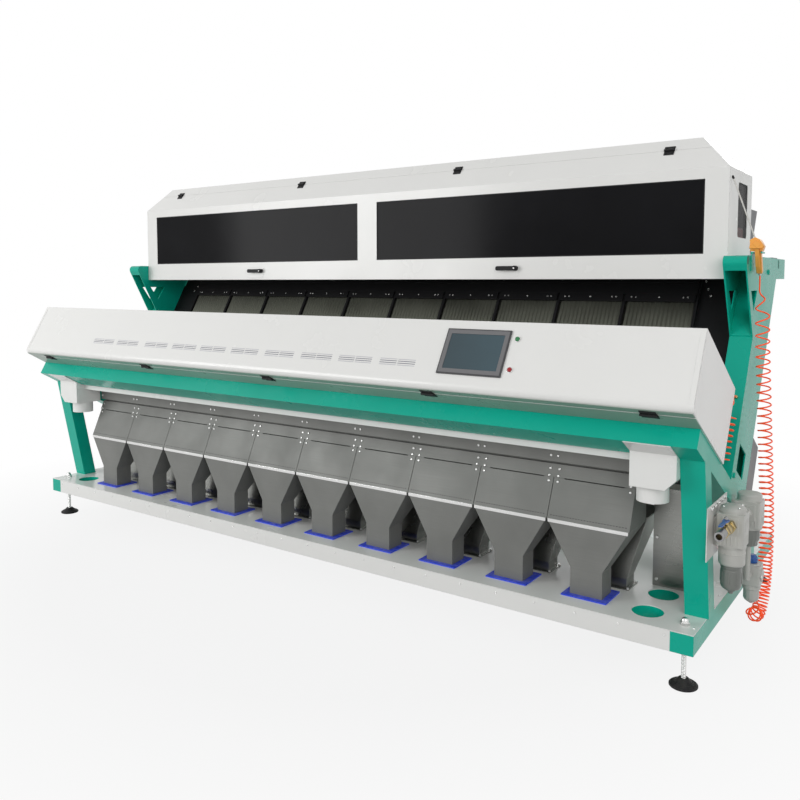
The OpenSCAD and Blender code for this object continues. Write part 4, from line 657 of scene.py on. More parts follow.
class SORTER_OT_finishes(bpy.types.Operator):
    """Makes the finishes and puts them on the solids"""

    bl_idname = "sorter.finishes"
    bl_label = "Finishes"

    def execute(self, context):
        GROUPS["sheet"] = sprayed_sheet_group()
        GROUPS["grain"] = brushed_grain_group()
        GROUPS["edges"] = rounded_edges_group()
        GROUPS["dust"] = settled_dust_group()
        setting = context.scene.sorter_sizes
        colours = context.scene.sorter_colours
        tint = {key: tuple(getattr(colours, key)) for key in SorterColours.__annotations__}
        fine = setting.steel_edge_r
        radius = {"sheet": setting.edge_r, "steel": fine, "hose": HOSE_EDGE, "slot": SLOT_EDGE}
        for key, name, roughness, edge, more in PAINTS:
            FINISHES[key] = painted(name, tint[key], roughness, radius[edge], **more)
        for key, name, roughness, more in METALS:
            FINISHES[key] = brushed(name, tint[key], roughness, fine, **more)
        bright = shade(tint["stainless"], 1.5)
        FINISHES["bright_sheet"] = brushed("Bright sheet", bright, 0.27, fine, edge=1.4)
        FINISHES["smoked_glass"] = smoked("Smoked glass", tint["smoked_glass"], 0.06, 1.0)
        FINISHES["end_glass"] = smoked("End window", shade(tint["smoked_glass"], 2), 0.04, 0.4)
        FINISHES["screen"] = dark_screen("Screen face", tint["screen"])
        # Painted light: the hose glows though it is no lamp, lightening the side that lies in shade
        glowing_hose = FINISHES["orange_hose"].node_tree.nodes["Principled BSDF"]
        glowing_hose.inputs["Emission Color"].default_value = (*tint["orange_hose"], 1)
        glowing_hose.inputs["Emission Strength"].default_value = HOSE_PAINTED_LIGHT
        for finish, nodes in NODE_FINISHES.items():
            for node in nodes:
                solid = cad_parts[node]
                if not solid.material_slots:
                    solid.data.materials.append(FINISHES[finish])
                for slot in solid.material_slots:
                    slot.material = FINISHES[finish]
        return {"FINISHED"}


# Hoses

# Middle lines: the long hose in the drawing, the short one along and across the tilted frame
COIL_POINTS = [
    (1960, 728, 1330), (1961, 728.7, 1310), (1962.4, 731, 1270), (1966, 736, 1150), (1978, 744, 900),
    (1990, 752, 650), (1998, 756, 450), (2000, 748, 300), (1998, 724, 170), (1992, 684, 96), (1983, 646, 90),
    (1976, 623, 140), (1974, 619, 190),
]
GUN_TAIL = [
    (1945, 741, 1450), (1945, 742.5, 1425), (1945, 743, 1402), (1947.3, 740.7, 1383), (1952.5, 735.5, 1365),
    (1957.7, 730.3, 1347),
]
REGULATOR_TAIL = [(1974, 619, 226), (1974.9, 616.5, 244), (1976.4, 609.5, 259), (1978, 598.2, 270.5)]
INNER_POINTS = [(1895, 638, 0.5), (1895, 638, 75), (1894, 636, 150), (1896, 639, 230), (1895, 638, 310)]
INNER_TAIL = [(1895, 642, 326), (1895, 656, 338), (1895, 679.5, 342)]


def smooth_line(points, steps):
    """A smooth line through points, each span cut into steps."""
    points = [Vector(p) for p in points]
    last = len(points) - 1
    line = []
    for i in range(last):
        a = points[max(i - 1, 0)]
        b = points[i]
        c = points[i + 1]
        d = points[min(i + 2, last)]
        for k in range(steps):
            u = k / steps
            bend = 2 * b + u * (c - a) + u * u * (2 * a - 5 * b + 4 * c - d)
            line.append(0.5 * (bend + u * u * u * (3 * b - a - 3 * c + d)))
    line.append(points[last])
    return line


def running_lengths(line):
    """Length run at each point of a line."""
    run = [0.0]
    for a, b in zip(line, line[1:]):
        run.append(run[-1] + (b - a).length)
    return run


def ease(value):
    """Smooth step from nought to one."""
    value = max(0.0, min(1.0, value))
    return value * value * (3 - 2 * value)


# Straight ends of the long and short hoses, and the lengths over which their spirals open and close
LONG_START = 44.0
LONG_END = 62.0
LONG_RISE = 104
SHORT_START = 4.0
SHORT_END = 40.0
SHORT_RISE = 48
FALL = 85
# Longest step of a spiral, and steps in one turn
STEP = 5.0
TURN_STEPS = 18


def spiral(line, radius, start, rise, end, pitch_at, turn):
    """A spiral round a line from a first turn angle, with straight ends before start and after end."""
    run = running_lengths(line)
    total = run[-1]
    side = Vector(TO_RIGHT)
    travelled = 0.0
    index = 0
    points = []
    while travelled < total:
        while index < len(line) - 2 and run[index + 1] < travelled:
            index += 1
        span = run[index + 1] - run[index]
        share = (travelled - run[index]) / span
        middle = line[index].lerp(line[index + 1], share)
        before = line[max(index - 1, 0)]
        after = line[min(index + 2, len(line) - 1)]
        ahead = (after - before).normalized()
        side = (side - ahead * side.dot(ahead)).normalized()
        over = ahead.cross(side)
        reach = radius * ease((travelled - start) / rise) * ease((end - travelled) / FALL)
        points.append(middle + reach * (math.cos(turn) * side + math.sin(turn) * over))
        pitch = pitch_at(travelled)
        step = min(pitch / TURN_STEPS, STEP, max(total - travelled, 0.01))
        travelled += step
        if travelled > start:
            turn += 2 * math.pi * step / pitch
    points.append(line[-1])
    return points


def make_hose(name, points, diameter, body, nodes):
    """A round hose along drawing points."""
    metres = [at(*p) for p in points]
    curve = bpy.data.curves.new(name, "CURVE")
    curve.dimensions = "3D"
    curve.bevel_depth = diameter / 2000
    curve.bevel_resolution = 3
    curve.use_fill_caps = True
    line = curve.splines.new("POLY")
    line.points.add(len(metres) - 1)
    for point, place in zip(line.points, metres):
        point.co = (*place, 1.0)
    line.use_smooth = True
    curve.materials.append(FINISHES["orange_hose"])
    hose = bpy.data.objects.new(name, curve)
    bpy.context.scene.collection.objects.link(hose)
    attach(hose, body)
    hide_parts(*nodes)


class SORTER_OT_hoses(bpy.types.Operator):
    """Winds the two spiral air hoses"""

    bl_idname = "sorter.hoses"
    bl_label = "Spiral hoses"

    def execute(self, context):
        size = sizes()
        line = smooth_line(GUN_TAIL + COIL_POINTS + REGULATOR_TAIL, 40)
        end_long = running_lengths(line)[-1] - LONG_END

        def long_pitch(run):
            """Wide turns below the gun, closer ones further down, packed at the floor, open at the end."""
            down = max(run - LONG_START, 0.0)
            pitch = 16 + 38 * math.exp(-down / 550) + 80 * math.exp(-down / 70)
            packed = pitch - 6 * ease((run - end_long + 480) / 140)
            return packed + 100 * ease((140 - (end_long - run)) / 80)

        points = spiral(line, size["coil_r"], LONG_START, LONG_RISE, end_long, long_pitch, math.pi)
        make_hose("spiral_hose", points, size["hose_d"], "frame", ["hose_coil"])
        line = [Vector(tilted(*p)) for p in smooth_line(INNER_POINTS + INNER_TAIL, 40)]
        end_short = running_lengths(line)[-1] - SHORT_END

        def short_pitch(run):
            """Even turns, open at both ends."""
            return 24 + 70 * ease((75 - run) / 60) + 80 * ease((110 - (end_short - run)) / 70)

        points = spiral(line, size["short_coil_r"], SHORT_START, SHORT_RISE, end_short, short_pitch, 0.0)
        make_hose("short_spiral_hose", points, size["short_hose_d"], "frame", ["inner_coil", "hose_tails"])
        bm = bmesh.new()
        lean = tilt_place().to_3x3()
        add_hex(bm, tilted(1895, 638, 0), lean @ Vector(UP), 14, 9, False)
        add_hex(bm, tilted(1895, 680, 342), lean @ Vector(TO_FRONT), 14, 9, False)
        make_piece("short_hose_fittings", bm, "brass", soften=0.4)
        return {"FINISHED"}


# Console

# Middles of the vents along the console, and their height up its face
VENT_XS = (-1228, -1020, -784, -566, -356, -138, 85, 307, 523, 742)
VENT_S = 103
CONSOLE_HINGE_XS = [20 + (i - 2) * 878 for i in range(5)]
# Depth of the cover's flange, at whose edge the hinges turn, and half the length of the sheets of painted
# shade under the console
FLANGE = 46
UNDERSIDE_SHADE_HALF = 1927
# Touch screen: middle, outside and glass
SCREEN_X = 1083
SCREEN_S = 165
SCREEN_W = 282
SCREEN_H = 196
SCREEN_GLASS_W = 237
SCREEN_GLASS_H = 151
SCREEN_RIM = 6
# Buttons beside the screen
BUTTON_X = 1254


class SORTER_OT_console_trim(bpy.types.Operator):
    """Adds vents with painted slot shade, painted shade under the console, hinge leaves, the screen's bezel
    and button caps to the console
    """

    bl_idname = "sorter.console_trim"
    bl_label = "Console trim"

    def execute(self, context):
        size = sizes()
        lean = tilt_place()
        self.vents(size, lean)
        self.linings(lean)
        self.hinges(lean)
        self.screen(lean)
        self.buttons(lean)
        return {"FINISHED"}

    def vents(self, size, lean):
        """Two rows of four thin lines in each vent, painted shade of the slots, the middle ones darker."""
        deep = bmesh.new()
        faint = bmesh.new()
        half = size["vent_l"] / 2
        tall = size["vent_h"] / 2
        for x in VENT_XS:
            # Painted shade: each line is a dark strip where a slot's shade falls
            for rise, shadow in ((-13, faint), (-4.5, deep), (4.5, deep), (13, faint)):
                for side in (-1, 1):
                    mid = x + side * (half + 3)
                    s = VENT_S + rise
                    add_box(shadow, (mid - half, -0.5, s - tall), (mid + half, 0.4, s + tall))
        make_piece("console_vent_slots", deep, "vent_deep", "console_door", place=lean)
        make_piece("console_vent_edges", faint, "vent_shadow", "console_door", place=lean)

    def linings(self, lean):
        """Seams at the door's ends, and sheets on the undersides painted with their shade and the green
        beam's reflection.
        """
        seams = bmesh.new()
        for side in (-1, 1):
            low, high = sorted((side * 1911, side * 1929.5))
            add_box(seams, (low, -0.9, 27), (high, 0.3, 286))
        make_piece("console_end_seams", seams, "white_paint", "console_door", 0.8, lean)
        # Painted shade: sage sheets on the undersides stand for white sheet in shadow that reflects the
        # green beam
        flange = bmesh.new()
        add_box(flange, (-UNDERSIDE_SHADE_HALF, 13.5, -0.7), (UNDERSIDE_SHADE_HALF, FLANGE - 1, 0.2))
        make_piece("console_flange_lining", flange, "sage_sheet", "console_door", 0.3, lean)
        under = bmesh.new()
        add_box(under, (-UNDERSIDE_SHADE_HALF, FLANGE + 6, -0.7), (UNDERSIDE_SHADE_HALF, 143.4, 0.2))
        make_piece("console_base_lining", under, "sage_sheet", "frame", 0.3, lean)

    def hinges(self, lean):
        """Leaves and screws on both sides of the hinge line, and the knuckles between."""
        leaves = bmesh.new()
        fixed = bmesh.new()
        screws = bmesh.new()
        door_screws = bmesh.new()
        for x in CONSOLE_HINGE_XS:
            add_box(leaves, (x - 29, FLANGE - 22, -2.8), (x + 29, FLANGE - 1, 0.2))
            for k in (-1, 1):
                base = (x + k * 24 - 6, FLANGE + 2, -5.5)
                add_turned(fixed, base, TO_RIGHT, rod(5.6, 0, 12), 20)
                add_screw(screws, (x + k * 18, FLANGE + 20, -3), DOWN, 7)
                add_screw(door_screws, (x + k * 18, FLANGE - 13, -2.8), DOWN, 7)
        make_piece("console_hinge_leaves", leaves, "black_plastic", "console_door", 0.8, lean)
        make_piece("console_hinge_knuckles", fixed, "black_plastic", "frame", 0.6, lean)
        make_piece("console_hinge_screws", screws, "black_plastic", "frame", 0.0, lean)
        make_piece("console_leaf_screws", door_screws, "black_plastic", "console_door", 0.0, lean)

    def screen(self, lean):
        """A dark rim with the box behind it, and a flat bezel round the glass."""
        half_w = SCREEN_W / 2
        half_h = SCREEN_H / 2
        rim = bmesh.new()
        inner_x = (SCREEN_X - half_w + SCREEN_RIM, SCREEN_X + half_w - SCREEN_RIM)
        inner_s = (SCREEN_S - half_h + SCREEN_RIM, SCREEN_S + half_h - SCREEN_RIM)
        add_ring_frame(rim, inner_x, inner_s, SCREEN_RIM, -6.6, 0)
        add_box(rim, (inner_x[0] - 1, -3.9, inner_s[0] - 1), (inner_x[1] + 1, -0.1, inner_s[1] + 1))
        add_box(rim, (inner_x[0] + 5, -0.2, inner_s[0] + 5), (inner_x[1] - 5, 32, inner_s[1] - 5))
        make_piece("screen_rim", rim, "bezel_rim", "console_door", 1.2, lean, "touch_screen")
        face = bmesh.new()
        glass_x = (SCREEN_X - SCREEN_GLASS_W / 2, SCREEN_X + SCREEN_GLASS_W / 2)
        glass_s = (SCREEN_S - SCREEN_GLASS_H / 2, SCREEN_S + SCREEN_GLASS_H / 2)
        plate_w = half_w - SCREEN_GLASS_W / 2 - SCREEN_RIM + 0.5
        add_ring_frame(face, glass_x, glass_s, plate_w, -8, -3.8)
        make_piece(
            "screen_bezel", face, "bezel_face", "console_door", 1.0, lean, "touch_screen"
        )

    def buttons(self, lean):
        """Domed caps of the start and stop buttons."""
        for name, s, finish in (("start_button", 229, "green_plastic"), ("stop_button", 102, "red_plastic")):
            bm = bmesh.new()
            profile = [(0, -12), (9, -12), (9, 6.4), (8.4, 7.6), (6.6, 8.5), (3.5, 8.95), (0, 9)]
            add_turned(bm, (BUTTON_X, 0, s), TO_FRONT, profile, 40)
            make_piece(name + "_cap", bm, finish, name, 0.0, lean, replaces=name)


# Hood

# Front of the hood, the height where it breaks back, and the slope above
HOOD_FRONT = 680
HOOD_BREAK = 1891
SLOPE_UP = Vector((0, 104, 140)).normalized()
SLOPE_OUT = Vector((0, -140, 104)).normalized()
# Place on the slope where the door ends and its hinges turn
SPLIT = Vector((0, HOOD_FRONT + 0.65 * 104, HOOD_BREAK + 0.65 * 140))
HOOD_HINGE_PITCH = 1047
# Turn levers: places along the hood, height and how far their caps stand out
LEVERS = (("hood_lever_left", -785), ("hood_lever_right", 885))
LEVER_Z = 1490
LEVER_OUT = 24.6
# Windows of the door
WINDOW_XS = ((-1737.5, -64), (64, 1737.5))
WINDOW_LOW = 1541
WINDOW_HIGH = 1846


class SORTER_OT_hood_trim(bpy.types.Operator):
    """Adds levers, hinge leaves, window seals and what shows in the end windows to the hood"""

    bl_idname = "sorter.hood_trim"
    bl_label = "Hood trim"

    def execute(self, context):
        size = sizes()
        plates = bmesh.new()
        for name, x in LEVERS:
            self.lever(name, x)
            outline = rounded(136, 46, 22, 8, (x - 52, 1470))
            add_prism(plates, outline, -HOOD_FRONT - 0.3, -HOOD_FRONT + 1.0, UPRIGHT)
        make_piece("lever_plates", plates, "white_paint", "hood_door", 0.3)
        seals = bmesh.new()
        seal = size["seal_w"]
        rise = (WINDOW_LOW + seal, WINDOW_HIGH - seal)
        for left, right in WINDOW_XS:
            inner = (left + seal, right - seal)
            add_ring_frame(seals, inner, rise, seal + 0.2, HOOD_FRONT + 0.5, HOOD_FRONT + 3.2)
        make_piece("window_seals", seals, "black_plastic", "hood_door", 0.5)
        self.hinges(size)
        self.ends()
        return {"FINISHED"}

    def lever(self, name, x):
        """A flat bar on a round boss, with its shaft, the cam behind the door and a cap screw."""
        bm = bmesh.new()
        z = LEVER_Z
        bar = [(-91, -10.5), (0, -10.5), (0, 10.5), (-91, 10.5), (-97, 7), (-98, 0), (-97, -7)]
        add_prism(bm, [(x + u, z + v) for u, v in bar], -665, -655, UPRIGHT)
        boss = [(0, 0.5), (12, 0.5), (12, 14), (12, 22), (10.5, 24.2), (8, 24.8), (0, 24.8)]
        add_turned(bm, (x, HOOD_FRONT, z), TO_FRONT, boss, 36)
        add_turned(bm, (x, 686.5, z), TO_FRONT, rod(4.8, 0, 26), 20)
        add_box(bm, (x - 10, 683.5, z - 10), (x + 10, 686.5, z + 30))
        make_piece(name + "_handle", bm, "black_plastic", name, 1.4, replaces=name)
        screw = bmesh.new()
        add_screw(screw, (x, HOOD_FRONT - LEVER_OUT, z), TO_FRONT, 8.5)
        make_piece(name + "_screw", screw, "zinc", name)

    def hinges(self, size):
        """Leaves, knuckles and screws of the door's four hinges on the slope."""
        leaves = bmesh.new()
        knuckles = bmesh.new()
        screws = bmesh.new()
        door_screws = bmesh.new()
        for i in range(4):
            x = (i - 1.5) * HOOD_HINGE_PITCH
            place = on_slope(SPLIT + Vector((x, 0, 0)), SLOPE_UP, SLOPE_OUT)
            add_box(leaves, (-21.5, -size["leaf_l"] - 3, -0.2), (21.5, -3, 2.8), place)
            for k in (-1, 1):
                base = place @ Vector((k * 16.5 - 5.5, 0, 5.5))
                add_turned(knuckles, base, TO_RIGHT, rod(5.5, 0, 11), 20)
                add_screw(door_screws, place @ Vector((k * 13, -15, 2.8)), SLOPE_OUT, 7)
                add_screw(screws, place @ Vector((k * 13, 14, 3)), SLOPE_OUT, 7)
        make_piece("hood_hinge_leaves", leaves, "black_plastic", "hood_door", 0.8)
        make_piece("hood_hinge_knuckles", knuckles, "black_plastic", "frame", 0.6)
        make_piece("hood_hinge_screws", screws, "black_plastic")
        make_piece("hood_leaf_screws", door_screws, "black_plastic", "hood_door")

    def ends(self):
        """Red boxes, and dark boxes of painted shade, that show through the end windows."""
        boxes = bmesh.new()
        for side in (-1, 1):
            for x, z in (((1786, 1829.3), (1560, 1594)), ((1740, 1823.5), (1592, 1656))):
                low, high = sorted((side * x[0], side * x[1]))
                add_box(boxes, (low, 850, z[0]), (high, 985, z[1]))
        make_piece("end_sensor_boxes", boxes, "red_paint", soften=4)
        # Painted shade: dark boxes make the hood's inside look shaded through the end windows
        backs = bmesh.new()
        for side in (-1, 1):
            for x, y in (((1716, 1722), 790), ((1720, 1829.3), 1087)):
                low, high = sorted((side * x[0], side * x[1]))
                add_box(backs, (low, y, 1590), (high, 1091.2, 1885))
        make_piece("end_shields", backs, "dark_paint", soften=1)


# Hoppers

# Slope of the hopper covers, and the fold that it starts from
COVER_UP = Vector((0, 66, 150)).normalized()
COVER_OUT = Vector((0, -150, 66)).normalized()
FOLD = Vector((0, 105, 505))


class SORTER_OT_hopper_trim(bpy.types.Operator):
    """Adds lips, the painted shade of punched lines and screws to the hoppers, and bolts to the rear chutes
    """

    bl_idname = "sorter.hopper_trim"
    bl_label = "Hopper trim"

    def execute(self, context):
        size = sizes()
        lips = bmesh.new()
        dots = bmesh.new()
        screws = bmesh.new()
        for x in CHUTE_XS:
            place = on_slope(FOLD + Vector((x, 0, 0)), COVER_UP, COVER_OUT)
            add_box(lips, (x - 160, 102.8, 491), (x + 160, 105.2, 504.6))
            # Painted shade: short dark bars stand for the shaded openings of each cover's punched line
            for k in range(27):
                u = -149.5 + k * 11.5
                add_box(dots, (u - 2.6, 13.2, -0.4), (u + 2.6, 15.4, 0.35), place)
            for side in (-1, 1):
                for rise in (146, 168, 196):
                    lift = 0.0 if rise < 160 else 3.4
                    base = place @ Vector((side * 146, rise, lift))
                    add_screw(screws, base, COVER_OUT, size["screw_d"])
                for z in (740, 778):
                    add_screw(screws, (x + side * 150, 174, z), TO_FRONT, size["screw_d"])
        make_piece("hopper_lips", lips, "zinc", soften=0.5)
        make_piece("hopper_punched_lines", dots, "dark_paint")
        make_piece("hopper_screws", screws, "zinc")
        bolts = bmesh.new()
        for x in CHUTE_XS:
            for side in (-1, 1):
                add_hex(bolts, (x + side * 106, 270, 226), UP, 9, 5)
                add_hex(bolts, (x + side * 106, 367, 226), UP, 9, 5)
        for side in (-1, 1):
            for z in (250, 420, 600):
                for x in (1668, 1824):
                    add_hex(bolts, (side * x, 383, z), TO_FRONT, 10, 5)
        make_piece("chute_flange_bolts", bolts, "zinc")
        return {"FINISHED"}


# Frame

# Middles of the levelling feet
FOOT_XS = (-1865, 1865)
FOOT_YS = (75, 1305)


class SORTER_OT_frame_trim(bpy.types.Operator):
    """Adds bolts and the painted shade of slots to the columns, and screws to the deck"""

    bl_idname = "sorter.frame_trim"
    bl_label = "Frame trim"

    def execute(self, context):
        size = sizes()
        bolts = bmesh.new()
        slots = bmesh.new()
        for side in (-1, 1):
            out = (side, 0, 0)
            face = side * COLUMN_FACE
            add_hex(bolts, (face, 1030, 1468), out, size["bolt_d"], 4)
            for t, s in ((712, 30), (928, 30)):
                add_hex(bolts, tilted(face, t, s), out, size["bolt_d"], 4)
            low = min(face, face + side * 0.5)
            # Painted shade: dark green plates stand for the shaded insides of the columns' slots
            for outline in (rounded(34, 34, 16.9, 7, (619, 1511)), rounded(18, 40, 8.9, 6, (1259, 1505))):
                add_prism(slots, outline, low - 0.2, low + 0.7, SIDEWAYS)
        make_piece("column_bolts", bolts, "green_paint", soften=0.4)
        make_piece("column_slots", slots, "green_shadow")
        screws = bmesh.new()
        for k in range(23):
            x = -1815 + k * 165
            add_screw(screws, (x, 0, 200), TO_FRONT, 9)
        for side in (-1, 1):
            for y in (60, 420, 800, 1180):
                add_screw(screws, (side * 1900, y, 222), UP, 9)
        make_piece("deck_screws", screws, "zinc")
        return {"FINISHED"}


class SORTER_OT_feet(bpy.types.Operator):
    """Replaces the levelling feet with threaded stems, cap nuts and ribbed pads"""

    bl_idname = "sorter.feet"
    bl_label = "Levelling feet"

    def execute(self, context):
        stems = bmesh.new()
        pads = bmesh.new()
        thread = [(0, 30)]
        for k in range(40):
            z = 30 + k * 5.4
            thread += [(9, z), (9, z + 1.6), (7.9, z + 2.7), (7.9, z + 4.2)]
        thread += [(9, 246), (0, 246)]
        dome = [(0, 235), (13, 235), (12.5, 241), (10, 246.5), (6, 249.3), (0, 250)]
        pad = [(0, 0), (48, 0), (50, 2), (50, 7), (47, 10), (45, 10.2), (43.5, 12.4), (40, 12.6)]
        pad += [(38.5, 15), (35, 15.2), (33, 18), (29.5, 18.4), (26, 22.5), (20, 27), (18, 30), (0, 30)]
        for x in FOOT_XS:
            for y in FOOT_YS:
                add_turned(stems, (x, y, 0), UP, thread, 24)
                add_hex(stems, (x, y, 133), UP, 30, 13.8, False)
                add_hex(stems, (x, y, 222), UP, 30, 13, False)
                add_turned(stems, (x, y, 0), UP, dome, 28)
                add_turned(pads, (x, y, 0), UP, pad, 48)
        make_piece("foot_stems", stems, "zinc", replaces="foot_studs")
        make_piece("foot_bases", pads, "black_plastic", replaces="foot_pads")
        return {"FINISHED"}


class SORTER_OT_chute_trim(bpy.types.Operator):
    """Adds clamp screws and a dark sheet of painted shade at the top of the sorting chamber"""

    bl_idname = "sorter.chute_trim"
    bl_label = "Chute trim"

    def execute(self, context):
        size = sizes()
        screws = bmesh.new()
        for x in CHUTE_XS:
            for k in (-128, -108, 0, 108, 128):
                add_screw(screws, (x + k, 757, 835), TO_FRONT, 0.9 * size["screw_d"])
        for side in (-1, 1):
            for x, s in ((1672, 930), (1688, 890), (1704, 856)):
                add_screw(screws, (side * x, 780, s), TO_FRONT, 1.2 * size["screw_d"])
        make_piece("clamp_screws", screws, "zinc", place=tilt_place())
        # Painted shade: a black sheet darkens the top of the chamber under the hood, where shade falls
        sheet = bmesh.new()
        add_box(sheet, (-1650, 757.6, 855.5), (1650, 760.5, 1010))
        add_box(sheet, (-1650, 742, 905), (1650, 758, 912))
        make_piece("chamber_top_sheet", sheet, "dark_paint", soften=0.8, place=tilt_place())
        return {"FINISHED"}


# Air unit

# Each filter's middle and top, then the middles of the regulator and of the valve's stem
FILTER_Y, FILTER_TOP = (206, 642)
REAR_FILTER_Y, REAR_FILTER_TOP = (480, 625)
FILTERS = ((FILTER_Y, FILTER_TOP), (REAR_FILTER_Y, REAR_FILTER_TOP))
REGULATOR_Y = 561
STEM_Y = 108.5
# Heights of the cross pipe, of the regulator's face and of the valve
PIPE_Z = 560.4
FACE_Z = 286
VALVE_Z = 576.7
# Bore of the open nipple
NIPPLE_BORE = 10.7


class SORTER_OT_air_unit(bpy.types.Operator):
    """Replaces the air filters, regulator and valve with detailed ones"""

    bl_idname = "sorter.air_unit"
    bl_label = "Air unit"

    def execute(self, context):
        self.heads()
        self.bowls()
        self.regulator()
        self.valve()
        return {"FINISHED"}

    def heads(self):
        """Cast heads with ports and ribs, joined by a pipe, and their screws."""
        bm = bmesh.new()
        for y, top in FILTERS:
            base = (AIR_X, y, 0)
            block = [(u + AIR_X, v + y) for u, v in rounded(92, 92, 7, 4)]
            add_prism(bm, block, 500, top - 26)
            add_turned(bm, base, UP, [(0, 490), (46, 490), (47, 492), (47, 503), (0, 503)], 40)
            crown = [(0, -28), (44, -28), (44, -13), (41, -7), (33, -2.5), (18, 0), (0, 0)]
            if y == REAR_FILTER_Y:
                crown = [(0, -28), (44, -28), (44, -4), (41, 0), (0, 0)]
            add_turned(bm, base, UP, [(r, top + drop) for r, drop in crown], 44)
            add_box(bm, (AIR_X - 29, y - 49, top - 95), (AIR_X + 29, y - 44, top - 37))
            for axis in (TO_RIGHT, TO_BACK, TO_FRONT):
                spot = Vector((AIR_X, y, top - 66)) + 44 * Vector(axis)
                port = [(0, -2), (27, -2), (27, 2.6), (24, 3.6), (19, 3.6), (18, 1.5), (0, 1.5)]
                add_turned(bm, spot, axis, port, 36)
            for k in range(6):
                shift = -30 + k * 12
                add_box(bm, (AIR_X + 44, y + shift - 2, 506), (AIR_X + 47, y + shift + 2, 540))
                add_box(bm, (AIR_X + shift - 2, y - 47, 506), (AIR_X + shift + 2, y - 44, 540))
        add_box(bm, (1926, 182, 493), (1985, 230, 594))
        add_turned(bm, (AIR_X, FILTER_Y, PIPE_Z), TO_BACK, rod(17, 0, 274), 32)
        for y in (262, 404):
            add_turned(bm, (AIR_X, y, PIPE_Z), TO_BACK, rod(22, 0, 20), 6)
        add_turned(bm, (AIR_X, REAR_FILTER_Y, 284), UP, rod(10, 0, 207), 24)
        add_turned(bm, (AIR_X, REAR_FILTER_Y, 294), TO_BACK, rod(10, 0, 45), 24)
        make_piece("filter_heads", bm, "cast_alloy", soften=1.6, replaces="air_filters")
        screws = bmesh.new()
        for y, top in FILTERS:
            for k in range(4):
                angle = math.radians(45 + 90 * k)
                spot = (AIR_X + 37 * math.cos(angle), y + 37 * math.sin(angle), top - 4.2)
                add_screw(screws, spot, UP, 9)
        for i in range(1, 6):
            add_hex(screws, (1926, 102.5 + i * 46.667, 630), TO_RIGHT, 12, 6)
        make_piece("filter_screws", screws, "zinc")

    def bowls(self):
        """A collar and a ribbed cup below the main head, and a fluted cup below the rear one."""
        bm = bmesh.new()
        base = (AIR_X, FILTER_Y, 0)
        band = bmesh.new()
        collar = [(0, 491), (44, 491), (45, 488), (45, 436), (43.5, 431), (40, 428), (0, 428)]
        add_turned(band, base, UP, collar, 72)
        add_turned(band, base, UP, rod(46, 470, 474), 72)
        make_piece("filter_collar", band, "cast_alloy", soften=0.6, replaces="filter_bowls")
        bowl = [(0, 429), (36.5, 429), (36.5, 418), (35, 416), (35, 410), (36.5, 408), (35.5, 354)]
        bowl += [(33, 346), (30, 342), (16.5, 339), (16.5, 333), (9, 331.6), (8, 321.5), (0, 321.5)]
        add_turned(bm, base, UP, bowl, 48)
        for k in range(8):
            turn = Matrix.Translation(base) @ Matrix.Rotation(math.radians(45 * k), 4, "Z")
            add_box(bm, (33, -2.5, 362), (37.6, 2.5, 402), turn)
        rear = [(0, 491), (38, 491), (39.4, 488), (39.4, 452), (37, 446), (33, 438), (33, 426), (30, 424)]
        rear += [(0, 424)]
        add_turned(bm, (AIR_X, REAR_FILTER_Y, 0), UP, rear, 64, 16, 1.4)
        make_piece("filter_cups", bm, "bowl_plastic", soften=0.6, replaces="filter_bowls")

    def regulator(self):
        """The small regulator with its fluted cup, gauge face, hose fitting and knob."""
        bm = bmesh.new()
        y = REGULATOR_Y
        block = [(u + AIR_X, v + y) for u, v in rounded(70, 70, 7, 4)]
        add_prism(bm, block, 246, 326)
        add_turned(bm, (AIR_X, y, 0), UP, [(0, 322), (31, 322), (31, 327), (27, 330), (0, 330)], 40)
        cup = [(0, 248), (33, 248), (34, 243), (34, 228), (29, 226), (28.8, 190), (26, 182), (14.4, 173)]
        cup += [(9, 172.4), (8, 168.2), (0, 168.2)]
        add_turned(bm, (AIR_X, y, 0), UP, cup, 56, 14, 0.9)
        plate = [(-33, 0), (-8, -24), (8, -24), (33, 0), (8, 24), (-8, 24)]
        add_prism(bm, [(y + u, FACE_Z + v) for u, v in plate], AIR_X + 34, AIR_X + 40, SIDEWAYS)
        gauge = [(0, 0), (13, 0), (13, 2.3), (9, 2.3), (8, 0.5), (0, 0.5)]
        add_turned(bm, (AIR_X + 38, y, FACE_Z), TO_RIGHT, gauge, 32)
        make_piece("regulator_body", bm, "cast_alloy", soften=1.2, replaces="filter_regulator")
        screws = bmesh.new()
        for k in (-1, 1):
            add_screw(screws, (AIR_X + 40, y + k * 22, FACE_Z), TO_RIGHT, 8)
        make_piece("regulator_screws", screws, "zinc")
        fitting = bmesh.new()
        add_hex(fitting, (1978.4, 594.5, 273.6), (-0.1, 0.7, -0.7), 13, 10, False)
        make_piece("regulator_hose_fitting", fitting, "zinc", soften=0.4)
        knob = bmesh.new()
        grip = [(0, 330.5), (19, 330.5), (20, 332), (20, 350), (18.5, 354), (15, 358), (12, 362), (0, 362.2)]
        add_turned(knob, (AIR_X, y, 0), UP, grip, 72, 18, 1.5)
        make_piece("regulator_grip", knob, "blue_plastic", "regulator_knob", 0.5, replaces="regulator_knob")

